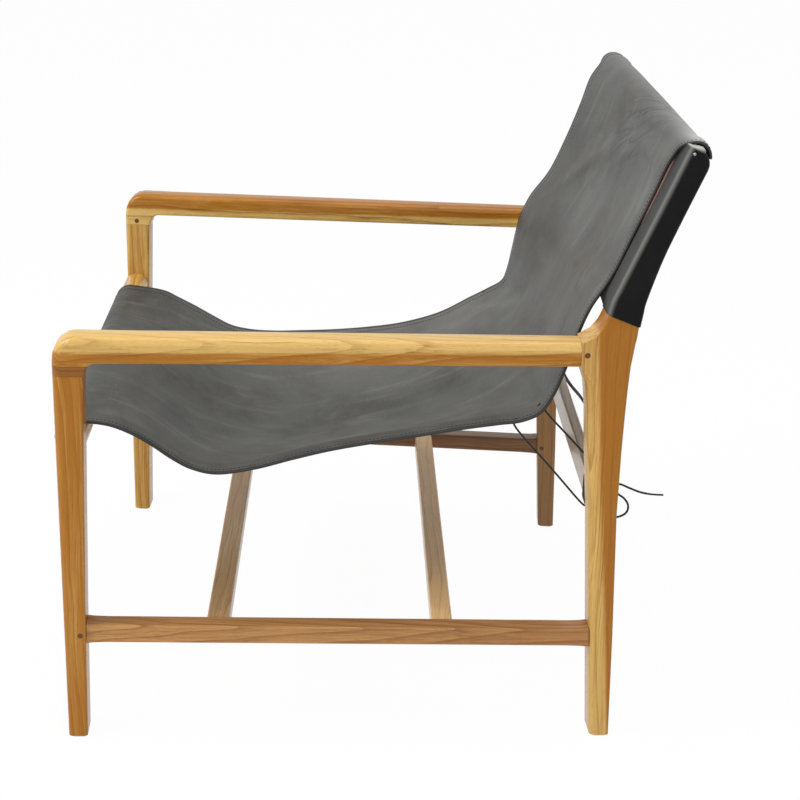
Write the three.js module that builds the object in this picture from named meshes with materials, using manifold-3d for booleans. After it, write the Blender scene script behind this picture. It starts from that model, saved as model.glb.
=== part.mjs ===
// A lounge chair with a leather sling hung in a wooden frame. All lengths are in millimetres.
// X points to the sitter's left, Y to the back of the chair and Z up; the feet stand at height zero.
//
// Each side frame is drawn flat: "depth" runs back from the front of the front leg, "height" runs up,
// and "inset" runs inboard from the outer face. The two frames then toe in towards the back.

import * as THREE from "three";
import { mergeVertices, toCreasedNormals } from "three/addons/utils/BufferGeometryUtils.js";
import Module from "manifold-3d";

const wasm = await Module();
wasm.setup();

// Plan of the chair
const frontWidth = 650;
const rearWidth = 586;
const frameDepth = 651;
const boardThickness = 34;
const backHeight = 727;

// Fits
const jointGap = 0.3;
const overrun = 6;

// Edges of the wood
const arris = 3;
const footChamfer = 2.5;

// Front legs
const frontLegTopWidth = 35.5;
const frontLegFootWidth = 22.8;
const frontLegToe = 3;
const frontLegRound = 11;
const frontFootRound = 4.5;
const frontInnerRound = 5;
const frontLegTenon = { width: 20, thickness: 12, length: 28 };

// Armrests and the heel blocks between them and the front legs
const armSeatHeight = 475;
const heelThickness = 12;
const heelReach = 41;
const heelSpreadShares = [0.3, 0.55];
const armFrontHeight = 509.7;
const armFrontDepth = 31.4;
const armRearHeight = 503;
const armRearDepth = 28;
const armNoseReach = 26;
const armNoseDrop = 30.7;
const armFilletReach = 9;
const armOuterRound = 10;
const armInnerRound = 8;
const armTenon = { height: 18, thickness: 10, length: 18 };

// Back legs and the posts above the arms
const backLegFootWidth = 23;
const backLegKneeWidth = 46.8;
const backLegHollow = 9;
const armButtReach = 61.5;
const backLegRound = 14;
const backFootRound = 5;
const backRake = 71.5;
const postWidth = 26.2;
const postRound = 3;
const postTopRound = 18;
const postTopRoundMostShare = 0.8;

// Low rails
const sideRailFrontTop = 149.5;
const sideRailRearTop = 142;
const sideRailFrontDepth = 23.5;
const sideRailRearDepth = 22.5;
const sideRailInset = 5;
const sideRailThickness = 24;
const sideRailSwell = 1.5;
const swellFallShares = { run: 0.35, swell: 0.33 };
const sideRailTenon = { height: 16, thickness: 10, length: 16 };
const crossRailFrontDepth = 167;
const crossRailRearDepth = 434;
const crossRailFrontWidth = 27;
const crossRailRearWidth = 25;
const crossRailHeight = 22;
const crossRailStep = 1;
const crossRailTenon = { height: 12, width: 12, length: 12 };

// Rails that carry the sling
const frontRailDepth = 14.8;
const frontRailHeight = 371;
const frontRailSize = 33;
const frontRailRound = 13.5;
const frontRailTenonRadius = 10;
const frontRailTenonLength = 22;
const rearRailSetback = 29;
const rearRailHeight = 301;
const rearRailWidth = 14;
const rearRailTall = 35;
const rearRailTenon = { height: 24, width: 8, length: 20 };
const crestSetback = 2.8;
const crestThickness = 21;
const crestTall = 46;
const crestDrop = 4.5;
const crestBow = 11;
const crestLowerRound = 5;
const crestTenon = { height: 28, width: 10, length: 18 };

// Dowels across the joints
const pinRadius = 3;
const pinLength = 26;
const pinSetback = 6.5;
const heelPinDepth = 17;

// Leather
const slingThickness = 3;
const slingWrapClearance = 0.5;
const crestWrapClearance = 1;
const crestFlapLength = 26;
const sleeveLeather = 2.2;
const sleeveFlangeReach = 23;

// Tacks and studs
const tackHeadRadius = 4.5;
const tackHeadHeight = 2;
const tackShankRadius = 1.3;
const tackShankLength = 12;
const domeShares = [[0.8, 0.6], [0.4, 0.9]];
const tackCount = 5;
const studHeadRadius = 2;
const studAcross = 4.5;
const studDrop = 6.5;

// Lacing
const cordDiameter = 2.4;
const windingPitch = 3;
const windingClearance = 0.5;
const leftWindingTurns = 6;
const rightWindingTurns = 3;
const leftWindingStart = 248;
const slingShift = 10;

// Mesh fineness
const cornerSteps = 3;
const noseSteps = 5;
const topSteps = 4;
const railBowSteps = 8;
const pinSides = 12;
const tackSides = 6;
const frontWrapSteps = 8;
const crestWrapSteps = 6;
const windingSteps = 24;
const windingSides = 6;
const cordSides = 8;
const cordHoleSides = 6;
const creaseAngle = Math.PI / 5;

// Sizes that follow from the ones above
const taper = Math.atan2((frontWidth - rearWidth) / 2, frameDepth);
const frontLegHeight = armSeatHeight - heelThickness;
const armRearBottom = armRearHeight - armRearDepth;
const buttDepth = frameDepth - armButtReach;
const postHeight = backHeight - armRearHeight;
const lean = Math.atan2(backRake, postHeight);
const cordRadius = cordDiameter / 2;
const slingHeight = frontRailHeight + frontRailSize / 2 + slingWrapClearance + slingThickness;

// Materials
const wood = new THREE.MeshStandardMaterial({ color: 0xb5732f, roughness: 0.45, metalness: 0 });
const endWood = new THREE.MeshStandardMaterial({ color: 0x8a5424, roughness: 0.6, metalness: 0 });
const leather = new THREE.MeshStandardMaterial({ color: 0x3b3c3a, roughness: 0.5, metalness: 0 });
const sleeveHide = new THREE.MeshStandardMaterial({ color: 0x1d1e1f, roughness: 0.45, metalness: 0 });
const cordHide = new THREE.MeshStandardMaterial({ color: 0x151515, roughness: 0.6, metalness: 0 });
const darkMetal = new THREE.MeshStandardMaterial({ color: 0x5a5a58, roughness: 0.4, metalness: 0.9 });

// A closed geometry from corners and triangles, with its faces turned outwards.
function closedGeometry(positions, triangles) {
  const rough = new THREE.BufferGeometry();
  rough.setAttribute("position", new THREE.Float32BufferAttribute(positions, 3));
  rough.setIndex(triangles);
  const merged = mergeVertices(rough);
  const corners = merged.attributes.position;
  const kept = [];
  let volume = 0;
  const a = new THREE.Vector3();
  const b = new THREE.Vector3();
  const c = new THREE.Vector3();
  for (let i = 0; i < merged.index.count; i += 3) {
    const [p, q, r] = [0, 1, 2].map((k) => merged.index.getX(i + k));
    if (p === q || q === r || r === p) continue;
    a.fromBufferAttribute(corners, p);
    b.fromBufferAttribute(corners, q);
    c.fromBufferAttribute(corners, r);
    volume += a.dot(b.cross(c));
    kept.push(p, q, r);
  }
  merged.setIndex(volume > 0 ? kept : kept.reverse());
  return merged;
}

// A solid through a row of rings that have as many points each.
function loft(rings) {
  const count = rings[0].length;
  const last = (rings.length - 1) * count;
  const positions = rings.flat().flatMap((point) => point.toArray());
  const triangles = [];
  for (let row = 0; row < last; row += count) {
    for (let k = 0; k < count; k += 1) {
      const here = row + k;
      const next = row + ((k + 1) % count);
      triangles.push(here, next, next + count, here, next + count, here + count);
    }
  }
  for (let k = 1; k + 1 < count; k += 1) {
    triangles.push(0, k + 1, k);
    triangles.push(last, last + k, last + k + 1);
  }
  return closedGeometry(positions, triangles);
}

// Corner points of a rectangle from (0, low) to (length, high), each corner with its own radius.
// The corners come in the order near-low, near-high, far-high, far-low.
function roundedRectangle(length, low, high, radii) {
  const most = Math.min(length, high - low) / 2;
  const corners = [
    { along: 0, across: low, inward: [1, 1], from: 1.5 },
    { along: 0, across: high, inward: [1, -1], from: 1 },
    { along: length, across: high, inward: [-1, -1], from: 0.5 },
    { along: length, across: low, inward: [-1, 1], from: 0 },
  ];
  return corners.flatMap((corner, index) => {
    const radius = Math.min(radii[index], most);
    const along = corner.along + corner.inward[0] * radius;
    const across = corner.across + corner.inward[1] * radius;
    return Array.from({ length: cornerSteps + 1 }, (_, step) => {
      const angle = Math.PI * (corner.from - step / cornerSteps / 2);
      return [along + radius * Math.cos(angle), across + radius * Math.sin(angle)];
    });
  });
}

// A bar in a side frame. Each station is a section between two points, near and far, of the side view.
// Its four radii are those of near-outer, near-inner, far-inner and far-outer.
function sideBar(stations) {
  return loft(stations.map((station) => {
    const { near, far, outer, inner, radii } = station;
    const length = near.distanceTo(far);
    const direction = far.clone().sub(near).normalize();
    return roundedRectangle(length, outer, inner, radii).map(([along, inset]) => new THREE.Vector3(
      -inset,
      near.x + direction.x * along,
      near.y + direction.y * along,
    ));
  }));
}

const sidePoint = (depth, height) => new THREE.Vector2(depth, height);

function asSolid(geometry) {
  const bare = geometry.clone();
  bare.deleteAttribute("normal");
  bare.deleteAttribute("uv");
  const merged = mergeVertices(bare);
  return new wasm.Manifold(new wasm.Mesh({
    numProp: 3,
    vertProperties: new Float32Array(merged.attributes.position.array),
    triVerts: new Uint32Array(merged.index.array),
  }));
}

function asGeometry(solid) {
  const mesh = solid.getMesh();
  const geometry = new THREE.BufferGeometry();
  geometry.setAttribute("position", new THREE.BufferAttribute(mesh.vertProperties, 3));
  geometry.setIndex(new THREE.BufferAttribute(mesh.triVerts, 1));
  return geometry;
}

function joined(geometry, others) {
  return asGeometry(others.reduce((solid, other) => solid.add(asSolid(other)), asSolid(geometry)));
}

function cut(geometry, cutters) {
  return asGeometry(cutters.reduce((solid, cutter) => solid.subtract(asSolid(cutter)), asSolid(geometry)));
}

function mirrored(geometry) {
  const bare = geometry.clone();
  bare.deleteAttribute("normal");
  bare.deleteAttribute("uv");
  const copy = mergeVertices(bare);
  copy.scale(-1, 1, 1);
  copy.setIndex(Array.from(copy.index.array).reverse());
  return copy;
}

function block(width, depth, height, x, y, z) {
  return new THREE.BoxGeometry(width, depth, height).translate(x, y, z);
}

// The side frames' placing in the chair, and its reverse for cutters that are drawn in the chair.
const leftFrame = new THREE.Matrix4()
  .makeRotationZ(taper)
  .setPosition(frontWidth / 2, 0, 0);
const intoLeftFrame = leftFrame.clone().invert();
const inLeftFrame = (geometry) => geometry.clone().applyMatrix4(intoLeftFrame);

// Where a plane that lies inset from a side frame's outer face stands, across the chair.
const faceAcross = (depth, inset) => frontWidth / 2 - depth * Math.tan(taper) - inset / Math.cos(taper);

// The chair's own depth of a side-frame depth, taken at the frame's inner face.
const chairDepth = (depth) => depth * Math.cos(taper) - boardThickness * Math.sin(taper);

const mix = (from, to, share) => from + (to - from) * share;

// Front leg: tapered to the foot, with a broad round on its outer front edge.
const frontLegWidthShares = [[0, 0], [0.36, 0.291], [0.65, 0.6], [1, 1]];

function frontLegStation(heightShare, widthShare) {
  const front = frontLegToe * (1 - heightShare);
  const width = mix(frontLegFootWidth, frontLegTopWidth, widthShare);
  const outerRound = mix(frontFootRound, frontLegRound, heightShare);
  return {
    near: sidePoint(front, frontLegHeight * heightShare),
    far: sidePoint(front + width, frontLegHeight * heightShare),
    outer: 0,
    inner: boardThickness,
    radii: [outerRound, mix(arris, frontInnerRound, heightShare), arris, arris],
  };
}

// The chamfered end under a leg's lowest station.
function footStations(station) {
  const foot = {
    near: sidePoint(station.near.x + footChamfer, 0),
    far: sidePoint(station.far.x - footChamfer, 0),
    outer: station.outer + footChamfer,
    inner: station.inner - footChamfer,
    radii: station.radii,
  };
  const raised = {
    ...station,
    near: sidePoint(station.near.x, footChamfer),
    far: sidePoint(station.far.x, footChamfer),
  };
  return [foot, raised];
}

function frontLeg() {
  const stations = frontLegWidthShares.map((shares) => frontLegStation(...shares));
  const leg = sideBar([...footStations(stations[0]), ...stations.slice(1)]);
  return joined(leg, [frontLegTenonBlock(0)]);
}

// The tenon on top of the front leg, or its mortise when grown by the clearance.
function frontLegTenonBlock(clearance) {
  const { width, thickness, length } = frontLegTenon;
  const height = length + overrun + clearance;
  return block(
    thickness + 2 * clearance,
    width + 2 * clearance,
    height,
    -boardThickness / 2,
    frontLegTopWidth / 2,
    frontLegHeight - overrun + height / 2,
  );
}

// Heel block: carries the leg's outline on into the armrest's inner fillet.
function armHeel() {
  const section = (height, reach) => ({
    near: sidePoint(0, height),
    far: sidePoint(reach, height),
    outer: 0,
    inner: boardThickness,
    radii: [frontLegRound, frontInnerRound, arris, arris],
  });
  const [lowShare, middleShare] = heelSpreadShares;
  return sideBar([
    section(frontLegHeight + jointGap, mix(frontLegTopWidth, heelReach, lowShare)),
    section((frontLegHeight + armSeatHeight) / 2, mix(frontLegTopWidth, heelReach, middleShare)),
    section(armSeatHeight - jointGap, heelReach),
  ]);
}

const armTopHeight = (depth) => mix(armFrontHeight, armRearHeight, depth / buttDepth);
const armBottomHeight = (depth) => mix(
  armFrontHeight - armFrontDepth,
  armRearBottom,
  depth / buttDepth,
);

// Armrest: its top rolls over the front in a quarter ellipse and comes down flat on the heel block.
function armrest() {
  const straightShares = [0.12, 0.35, 0.68];
  const straight = (depth, radii) => ({
    near: sidePoint(depth, armTopHeight(depth)),
    far: sidePoint(depth, armBottomHeight(depth)),
    outer: 0,
    inner: boardThickness,
    radii,
  });
  const barRadii = [armOuterRound, armInnerRound, arris, arris];
  const jointRadii = [frontLegRound, frontInnerRound, arris, arris];
  const noseCentre = armFrontHeight - armNoseDrop;
  const filletEnd = heelReach + armFilletReach;
  const nose = Array.from({ length: noseSteps + 1 }, (_, step) => {
    const share = step / noseSteps;
    const angle = (Math.PI / 2) * share;
    return {
      near: sidePoint(
        armNoseReach * (1 - Math.sin(angle)),
        noseCentre + armNoseDrop * Math.cos(angle),
      ),
      far: sidePoint(
        mix(filletEnd, heelReach, share),
        mix(armBottomHeight(filletEnd), armSeatHeight, share * share),
      ),
      outer: 0,
      inner: boardThickness,
      radii: barRadii.map((radius, index) => mix(radius, jointRadii[index], share)),
    };
  });
  const seat = {
    near: sidePoint(0, armSeatHeight),
    far: sidePoint(heelReach, armSeatHeight),
    outer: 0,
    inner: boardThickness,
    radii: jointRadii,
  };
  const bar = sideBar([
    straight(buttDepth - jointGap, barRadii),
    ...straightShares.map((share) => straight(buttDepth * share, barRadii)).reverse(),
    ...nose.slice(0, noseSteps),
    { ...nose[noseSteps], far: sidePoint(heelReach + jointGap, armSeatHeight + jointGap) },
    seat,
  ]);
  return joined(bar, [armTenonBlock(0)]);
}

const armJointHeight = armRearHeight - armRearDepth / 2;

function armTenonBlock(clearance) {
  const { height, thickness, length } = armTenon;
  const reach = length + overrun + clearance;
  return block(
    thickness + 2 * clearance,
    reach,
    height + 2 * clearance,
    -boardThickness / 2,
    buttDepth - overrun + reach / 2,
    armJointHeight,
  );
}

// Back leg below the arm: height share, share of the hollow in its rear edge, share of its widening.
const backLegShares = [
  [0, 0, 0],
  [0.29, 0.39, 0.189],
  [0.62, 1, 0.357],
  [0.783, 0.98, 0.63],
  [0.888, 0.87, 0.807],
  [0.95, 0.75, 1],
];
const buttHollowShares = [0.61, 0.22];

// Post above the arm: height share and rake share of its rear edge, width share, share of the lean.
const postShares = [
  [0.018, -0.015, 1.8, 0.3],
  [0.042, -0.006, 1.56, 0.78],
  [0.086, 0.006, 1.42, 1.26],
  [0.156, 0.039, 1.374, 1.26],
  [0.228, 0.08, 1.244, 1.27],
  [0.439, 0.2825, 1.055, 1.27],
  [0.641, 0.53, 1, 1.27],
  [0.826, 0.769, 1, 1.27],
];
const sleeveFirstStation = 2;
const topLeanShare = 1.27;
const topLean = topLeanShare * lean;
const upPost = sidePoint(Math.sin(topLean), Math.cos(topLean));
const backPost = sidePoint(Math.cos(topLean), -Math.sin(topLean));

function postEdges([heightShare, rakeShare, widthShare, leanShare]) {
  const far = sidePoint(frameDepth + backRake * rakeShare, armRearHeight + postHeight * heightShare);
  const width = postWidth * widthShare;
  const near = sidePoint(
    far.x - width * Math.cos(lean * leanShare),
    far.y + width * Math.sin(lean * leanShare),
  );
  return { near, far };
}

// The straight top of the post: distance up from its last named station, and back from its front edge.
const postTopStart = postEdges(postShares[postShares.length - 1]).near;
const postTopRun = (backHeight - postTopStart.y) / Math.cos(topLean);
const onPost = (up, back) => postTopStart.clone()
  .addScaledVector(upPost, up)
  .addScaledVector(backPost, back);

// Stations of the post, grown outwards by a thickness; the rear corner of its top is rounded over.
function postStations(first, growth) {
  const section = (near, far, radii) => {
    const direction = far.clone().sub(near).normalize();
    return {
      near: near.clone().addScaledVector(direction, -growth),
      far: far.clone().addScaledVector(direction, growth),
      outer: -growth,
      inner: boardThickness + growth,
      radii: radii.map((radius) => radius + growth),
    };
  };
  const postRadii = [postRound, postRound, postRound, postRound];
  const body = postShares.slice(first).map((shares) => {
    const { near, far } = postEdges(shares);
    return section(near, far, postRadii);
  });
  const radius = Math.min(postTopRound, postTopRun * postTopRoundMostShare) + growth;
  const end = Array.from({ length: topSteps + 1 }, (_, step) => {
    const angle = (Math.PI / 2) * (step / topSteps);
    const up = postTopRun + growth - radius + radius * Math.sin(angle);
    const back = postWidth - radius * (1 - Math.cos(angle));
    return section(onPost(up, 0), onPost(up, back), postRadii);
  });
  return [...body, ...end];
}

function backLeg() {
  const station = ([heightShare, hollowShare, widthShare]) => {
    const rear = frameDepth - backLegHollow * hollowShare;
    const width = mix(backLegFootWidth, backLegKneeWidth, widthShare);
    return {
      near: sidePoint(rear - width, armRearBottom * heightShare),
      far: sidePoint(rear, armRearBottom * heightShare),
      outer: 0,
      inner: boardThickness,
      radii: [mix(backFootRound, backLegRound, Math.min(1, 2 * heightShare)), arris, arris, arris],
    };
  };
  const butt = [armRearBottom, armRearHeight].map((height, index) => ({
    near: sidePoint(buttDepth, height),
    far: sidePoint(frameDepth - backLegHollow * buttHollowShares[index], height),
    outer: 0,
    inner: boardThickness,
    radii: [jointGap, jointGap, arris, arris],
  }));
  const below = backLegShares.map(station);
  return sideBar([
    ...footStations(below[0]),
    ...below.slice(1),
    ...butt,
    ...postStations(0, 0),
  ]);
}

// Side rail between the legs, a little swelled at its ends, with a tenon into each leg.
const sideRailTop = (depth) => mix(sideRailFrontTop, sideRailRearTop, depth / frameDepth);
const sideRailBottom = (depth) => sideRailTop(depth) - mix(
  sideRailFrontDepth,
  sideRailRearDepth,
  depth / frameDepth,
);
const sideRailMiddle = (depth) => (sideRailTop(depth) + sideRailBottom(depth)) / 2;
const sideRailJointInset = sideRailInset + sideRailThickness / 2;

function frontLegRear(height) {
  const share = height / frontLegHeight;
  const shares = frontLegWidthShares;
  const next = shares.findIndex(([heightShare]) => heightShare >= share);
  const [lowShare, lowWidth] = shares[next - 1];
  const [highShare, highWidth] = shares[next];
  const widthShare = mix(lowWidth, highWidth, (share - lowShare) / (highShare - lowShare));
  return frontLegToe * (1 - share) + mix(frontLegFootWidth, frontLegTopWidth, widthShare);
}

function backLegFront(height) {
  const share = height / armRearBottom;
  const next = backLegShares.findIndex(([heightShare]) => heightShare >= share);
  const [lowShare, lowHollow, lowWidth] = backLegShares[next - 1];
  const [highShare, highHollow, highWidth] = backLegShares[next];
  const along = (share - lowShare) / (highShare - lowShare);
  const width = mix(backLegFootWidth, backLegKneeWidth, mix(lowWidth, highWidth, along));
  return frameDepth - backLegHollow * mix(lowHollow, highHollow, along) - width;
}

const railFrontHeight = sideRailMiddle(0);
const railRearHeight = sideRailMiddle(frameDepth);

function sideRail() {
  const frontTop = frontLegRear(sideRailFrontTop) + jointGap;
  const frontBottom = frontLegRear(sideRailFrontTop - sideRailFrontDepth) + jointGap;
  const rearTop = backLegFront(sideRailRearTop) - jointGap;
  const rearBottom = backLegFront(sideRailRearTop - sideRailRearDepth) - jointGap;
  const section = (topDepth, bottomDepth, swell) => ({
    near: sidePoint(topDepth, sideRailTop(topDepth) + swell),
    far: sidePoint(bottomDepth, sideRailBottom(bottomDepth) - swell),
    outer: sideRailInset,
    inner: sideRailInset + sideRailThickness,
    radii: [arris, arris, arris, arris],
  });
  const frontSlim = frontTop + sideRailThickness;
  const rearSlim = rearBottom - sideRailThickness;
  const frontFall = mix(frontTop, frontSlim, swellFallShares.run);
  const rearFall = mix(rearBottom, rearSlim, swellFallShares.run);
  const fallenSwell = sideRailSwell * swellFallShares.swell;
  const bar = sideBar([
    section(frontTop, frontBottom, sideRailSwell),
    section(frontFall, frontFall, fallenSwell),
    section(frontSlim, frontSlim, 0),
    section(rearSlim, rearSlim, 0),
    section(rearFall, rearFall, fallenSwell),
    section(rearTop, rearBottom, sideRailSwell),
  ]);
  return joined(bar, sideRailTenonBlocks(0));
}

function sideRailTenonBlocks(clearance) {
  const { height, thickness, length } = sideRailTenon;
  const reach = length + overrun + clearance;
  const frontFace = frontLegRear(railFrontHeight);
  const rearFace = backLegFront(railRearHeight);
  return [
    { middle: frontFace + overrun - reach / 2, height: railFrontHeight },
    { middle: rearFace - overrun + reach / 2, height: railRearHeight },
  ].map((end) => block(
    thickness + 2 * clearance,
    reach,
    height + 2 * clearance,
    -sideRailJointInset,
    end.middle,
    end.height,
  ));
}

// A rail across the chair. Its section is a list of depth and height pairs in the chair's own frame,
// and its ends follow the faces of the side frames that they meet.
function crossBar(section, inset, gap, bow, steps) {
  const rings = Array.from({ length: steps + 1 }, (_, step) => {
    const side = 1 - (2 * step) / steps;
    return section.map(([depth, height]) => new THREE.Vector3(
      side * faceAcross(depth, inset + gap),
      depth + bow * (1 - side * side),
      height,
    ));
  });
  return loft(rings);
}

// A rectangle section of a cross rail around its middle, with rounded corners.
function railSection(depth, height, width, tall, radii) {
  const corners = roundedRectangle(width, -tall / 2, tall / 2, radii);
  return corners.map(([along, across]) => [depth - width / 2 + along, height + across]);
}

// A pair of tenons on the ends of a cross rail, drawn about its middle depth and height.
function crossTenons(tenon, depth, height, inset, clearance, tilt) {
  const reach = tenon.length + overrun + clearance;
  const face = faceAcross(depth, inset);
  return [1, -1].map((side) => {
    const piece = new THREE.BoxGeometry(
      reach,
      tenon.width + 2 * clearance,
      tenon.height + 2 * clearance,
    );
    piece.rotateX(-tilt);
    return piece.translate(side * (face - overrun + reach / 2), depth, height);
  });
}

const lowRails = [
  { name: "low_cross_rail_front", depth: crossRailFrontDepth, width: crossRailFrontWidth },
  { name: "low_cross_rail_rear", depth: crossRailRearDepth, width: crossRailRearWidth },
].map((rail) => {
  const middle = rail.depth + rail.width / 2;
  const height = sideRailTop(middle) - crossRailStep - crossRailHeight / 2;
  return { ...rail, middle, height };
});
const lowRailInset = sideRailInset + sideRailThickness;

function lowCrossRail(rail) {
  const radii = [arris, arris, arris, arris];
  const section = railSection(rail.middle, rail.height, rail.width, crossRailHeight, radii);
  const bar = crossBar(section, lowRailInset, jointGap, 0, 1);
  return joined(bar, lowRailTenons(rail, 0));
}

const lowRailTenons = (rail, clearance) => crossTenons(
  crossRailTenon,
  rail.middle,
  rail.height,
  lowRailInset,
  clearance,
  0,
);

const frontRailMiddle = chairDepth(frontRailDepth);

function frontSeatRail() {
  const radii = [frontRailRound, frontRailRound, frontRailRound, frontRailRound];
  const section = railSection(frontRailMiddle, frontRailHeight, frontRailSize, frontRailSize, radii);
  const bar = crossBar(section, boardThickness, jointGap, 0, 1);
  return joined(bar, frontRailTenons(0));
}

function frontRailTenons(clearance) {
  const reach = frontRailTenonLength + overrun + clearance;
  const radius = frontRailTenonRadius + clearance;
  const face = faceAcross(frontRailMiddle, boardThickness);
  return [1, -1].map((side) => new THREE.CylinderGeometry(radius, radius, reach, 2 * pinSides)
    .rotateZ(Math.PI / 2)
    .translate(side * (face - overrun + reach / 2), frontRailMiddle, frontRailHeight));
}

const rearRailMiddle = chairDepth(frameDepth - rearRailSetback);

function rearSeatRail() {
  const radii = [arris, arris, arris, arris];
  const section = railSection(rearRailMiddle, rearRailHeight, rearRailWidth, rearRailTall, radii);
  const bar = crossBar(section, boardThickness, jointGap, 0, 1);
  return joined(bar, rearRailTenons(0));
}

const rearRailTenons = (clearance) => crossTenons(
  rearRailTenon,
  rearRailMiddle,
  rearRailHeight,
  boardThickness,
  clearance,
  0,
);

// Crest rail: leans with the posts, half round along its top, and bows back between them.
const crestTop = postTopRun - crestDrop;
const crestRadius = crestThickness / 2;
const crestAxisUp = crestTop - crestRadius;
const inChair = (point) => [chairDepth(point.x), point.y];

function crestRail(growth) {
  const low = crestTop - crestTall - growth;
  const tall = crestTall + 2 * growth;
  const round = crestRadius + growth;
  const radii = [crestLowerRound, round, round, crestLowerRound];
  const corners = roundedRectangle(crestThickness + 2 * growth, 0, tall, radii);
  const section = corners.map(([back, up]) => inChair(onPost(low + up, crestSetback - growth + back)));
  return crossBar(section, boardThickness, jointGap - growth, crestBow, railBowSteps);
}

function crestTenons(clearance) {
  const [depth, height] = inChair(onPost(crestTop - crestTall / 2, crestSetback + crestRadius));
  return crossTenons(crestTenon, depth, height, boardThickness, clearance, topLean);
}

// Dowels. Each is drawn along X from the face that it is driven in at.
function dowel(depth, height, fromInside, clearance) {
  const length = pinLength + clearance + (clearance > 0 ? overrun : 0);
  const start = clearance > 0 ? -overrun : 0;
  const middle = start + length / 2;
  const inset = fromInside ? boardThickness - middle : middle;
  const radius = pinRadius + clearance;
  return new THREE.CylinderGeometry(radius, radius, length, pinSides)
    .rotateZ(Math.PI / 2)
    .translate(-inset, depth, height);
}

const pinPlaces = {
  armRear: { depth: buttDepth + pinSetback, height: armJointHeight, fromInside: false },
  railFront: {
    depth: frontLegRear(railFrontHeight) - pinSetback,
    height: railFrontHeight,
    fromInside: false,
  },
  railRear: {
    depth: backLegFront(railRearHeight) + pinSetback,
    height: railRearHeight,
    fromInside: true,
  },
  heel: { depth: heelPinDepth, height: frontLegHeight + heelThickness / 2, fromInside: true },
};
const pin = (place, clearance) => dowel(place.depth, place.height, place.fromInside, clearance);

// Sleeve: a leather pocket over the post, open below, with a flange that the sling is sewn to.
function postSleeve() {
  const outer = sideBar(postStations(sleeveFirstStation, jointGap + sleeveLeather));
  const cavity = sideBar(postStations(sleeveFirstStation - 1, jointGap));
  const flangeEdge = [
    ...postShares.slice(sleeveFirstStation).map((shares) => postEdges(shares)),
    { near: onPost(crestAxisUp - jointGap, 0), far: onPost(crestAxisUp - jointGap, postWidth) },
  ];
  const flange = sideBar(flangeEdge.map(({ near, far }) => ({
    near,
    far: near.clone().addScaledVector(far.clone().sub(near).normalize(), sleeveLeather),
    outer: boardThickness + jointGap + sleeveLeather / 2,
    inner: boardThickness + sleeveFlangeReach,
    radii: [0, 0, 0, 0],
  })));
  const pocket = joined(cut(outer, [cavity]), [flange]);
  return cut(pocket, [inLeftFrame(crestRail(2 * jointGap)), studShank(jointGap)]);
}

const studPlace = onPost(postTopRun - studDrop, studAcross);

function studShank(clearance) {
  const length = tackShankLength + clearance + (clearance > 0 ? overrun : 0);
  const start = -sleeveLeather - jointGap - (clearance > 0 ? overrun : 0);
  return new THREE.CylinderGeometry(
    tackShankRadius + clearance,
    tackShankRadius + clearance,
    length,
    tackSides,
  )
    .rotateZ(Math.PI / 2)
    .translate(-(start + length / 2), studPlace.x, studPlace.y);
}

// A domed head with its shank, standing on the origin and driven down into -Y.
function headedNail(headRadius) {
  const profile = [
    [0, -tackShankLength],
    [tackShankRadius, -tackShankLength],
    [tackShankRadius, 0],
    [headRadius, 0],
    ...domeShares.map(([radius, height]) => [headRadius * radius, tackHeadHeight * height]),
    [0, tackHeadHeight],
  ].map(([radius, height]) => new THREE.Vector2(radius, height));
  return new THREE.LatheGeometry(profile, tackSides);
}

function sleeveStud() {
  return headedNail(studHeadRadius)
    .rotateZ(-Math.PI / 2)
    .translate(sleeveLeather + 2 * jointGap, studPlace.x, studPlace.y);
}

// The sling. Each row holds the left edge, the middle and the right edge of the leather's upper face:
// shares of the frame depth and of the sling height, then the shares of the clear width at both edges.
const seatShares = [
  [0.085, 0.989, 0.08, 0.979, 0.095, 0.986, 0.955, 0.767],
  [0.16, 0.926, 0.16, 0.903, 0.165, 0.927, 0.955, 0.775],
  [0.197, 0.881, 0.2, 0.849, 0.203, 0.889, 0.955, 0.785],
  [0.23, 0.85, 0.243, 0.8, 0.244, 0.851, 0.956, 0.795],
  [0.273, 0.834, 0.289, 0.77, 0.287, 0.834, 0.956, 0.803],
  [0.341, 0.849, 0.347, 0.754, 0.341, 0.828, 0.954, 0.815],
  [0.407, 0.879, 0.412, 0.754, 0.402, 0.829, 0.952, 0.83],
  [0.476, 0.908, 0.479, 0.767, 0.47, 0.831, 0.95, 0.851],
  [0.561, 0.934, 0.559, 0.793, 0.55, 0.843, 0.949, 0.862],
  [0.645, 0.957, 0.636, 0.829, 0.63, 0.864, 0.947, 0.873],
  [0.714, 0.976, 0.704, 0.875, 0.71, 0.906, 0.943, 0.882],
  [0.777, 0.99, 0.763, 0.928, 0.777, 0.968, 0.94, 0.89],
  [0.817, 0.998, 0.814, 0.982, 0.817, 1.004, 0.935, 0.897],
  [0.848, 1.021, 0.848, 1.038, 0.845, 1.034, 0.93, 0.902],
];

// The turn from seat to back: depth shares as above, heights as shares from the fold up to the back's top.
const foldHeightShare = 1.023;
const foldShares = [
  [0.87, 0.058, 0.869, 0.092, 0.855, 0.068, 0.93, 0.904],
  [0.89, 0.159, 0.891, 0.19, 0.864, 0.163, 0.934, 0.906],
  [0.907, 0.297, 0.917, 0.315, 0.877, 0.3, 0.942, 0.908],
];

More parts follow.
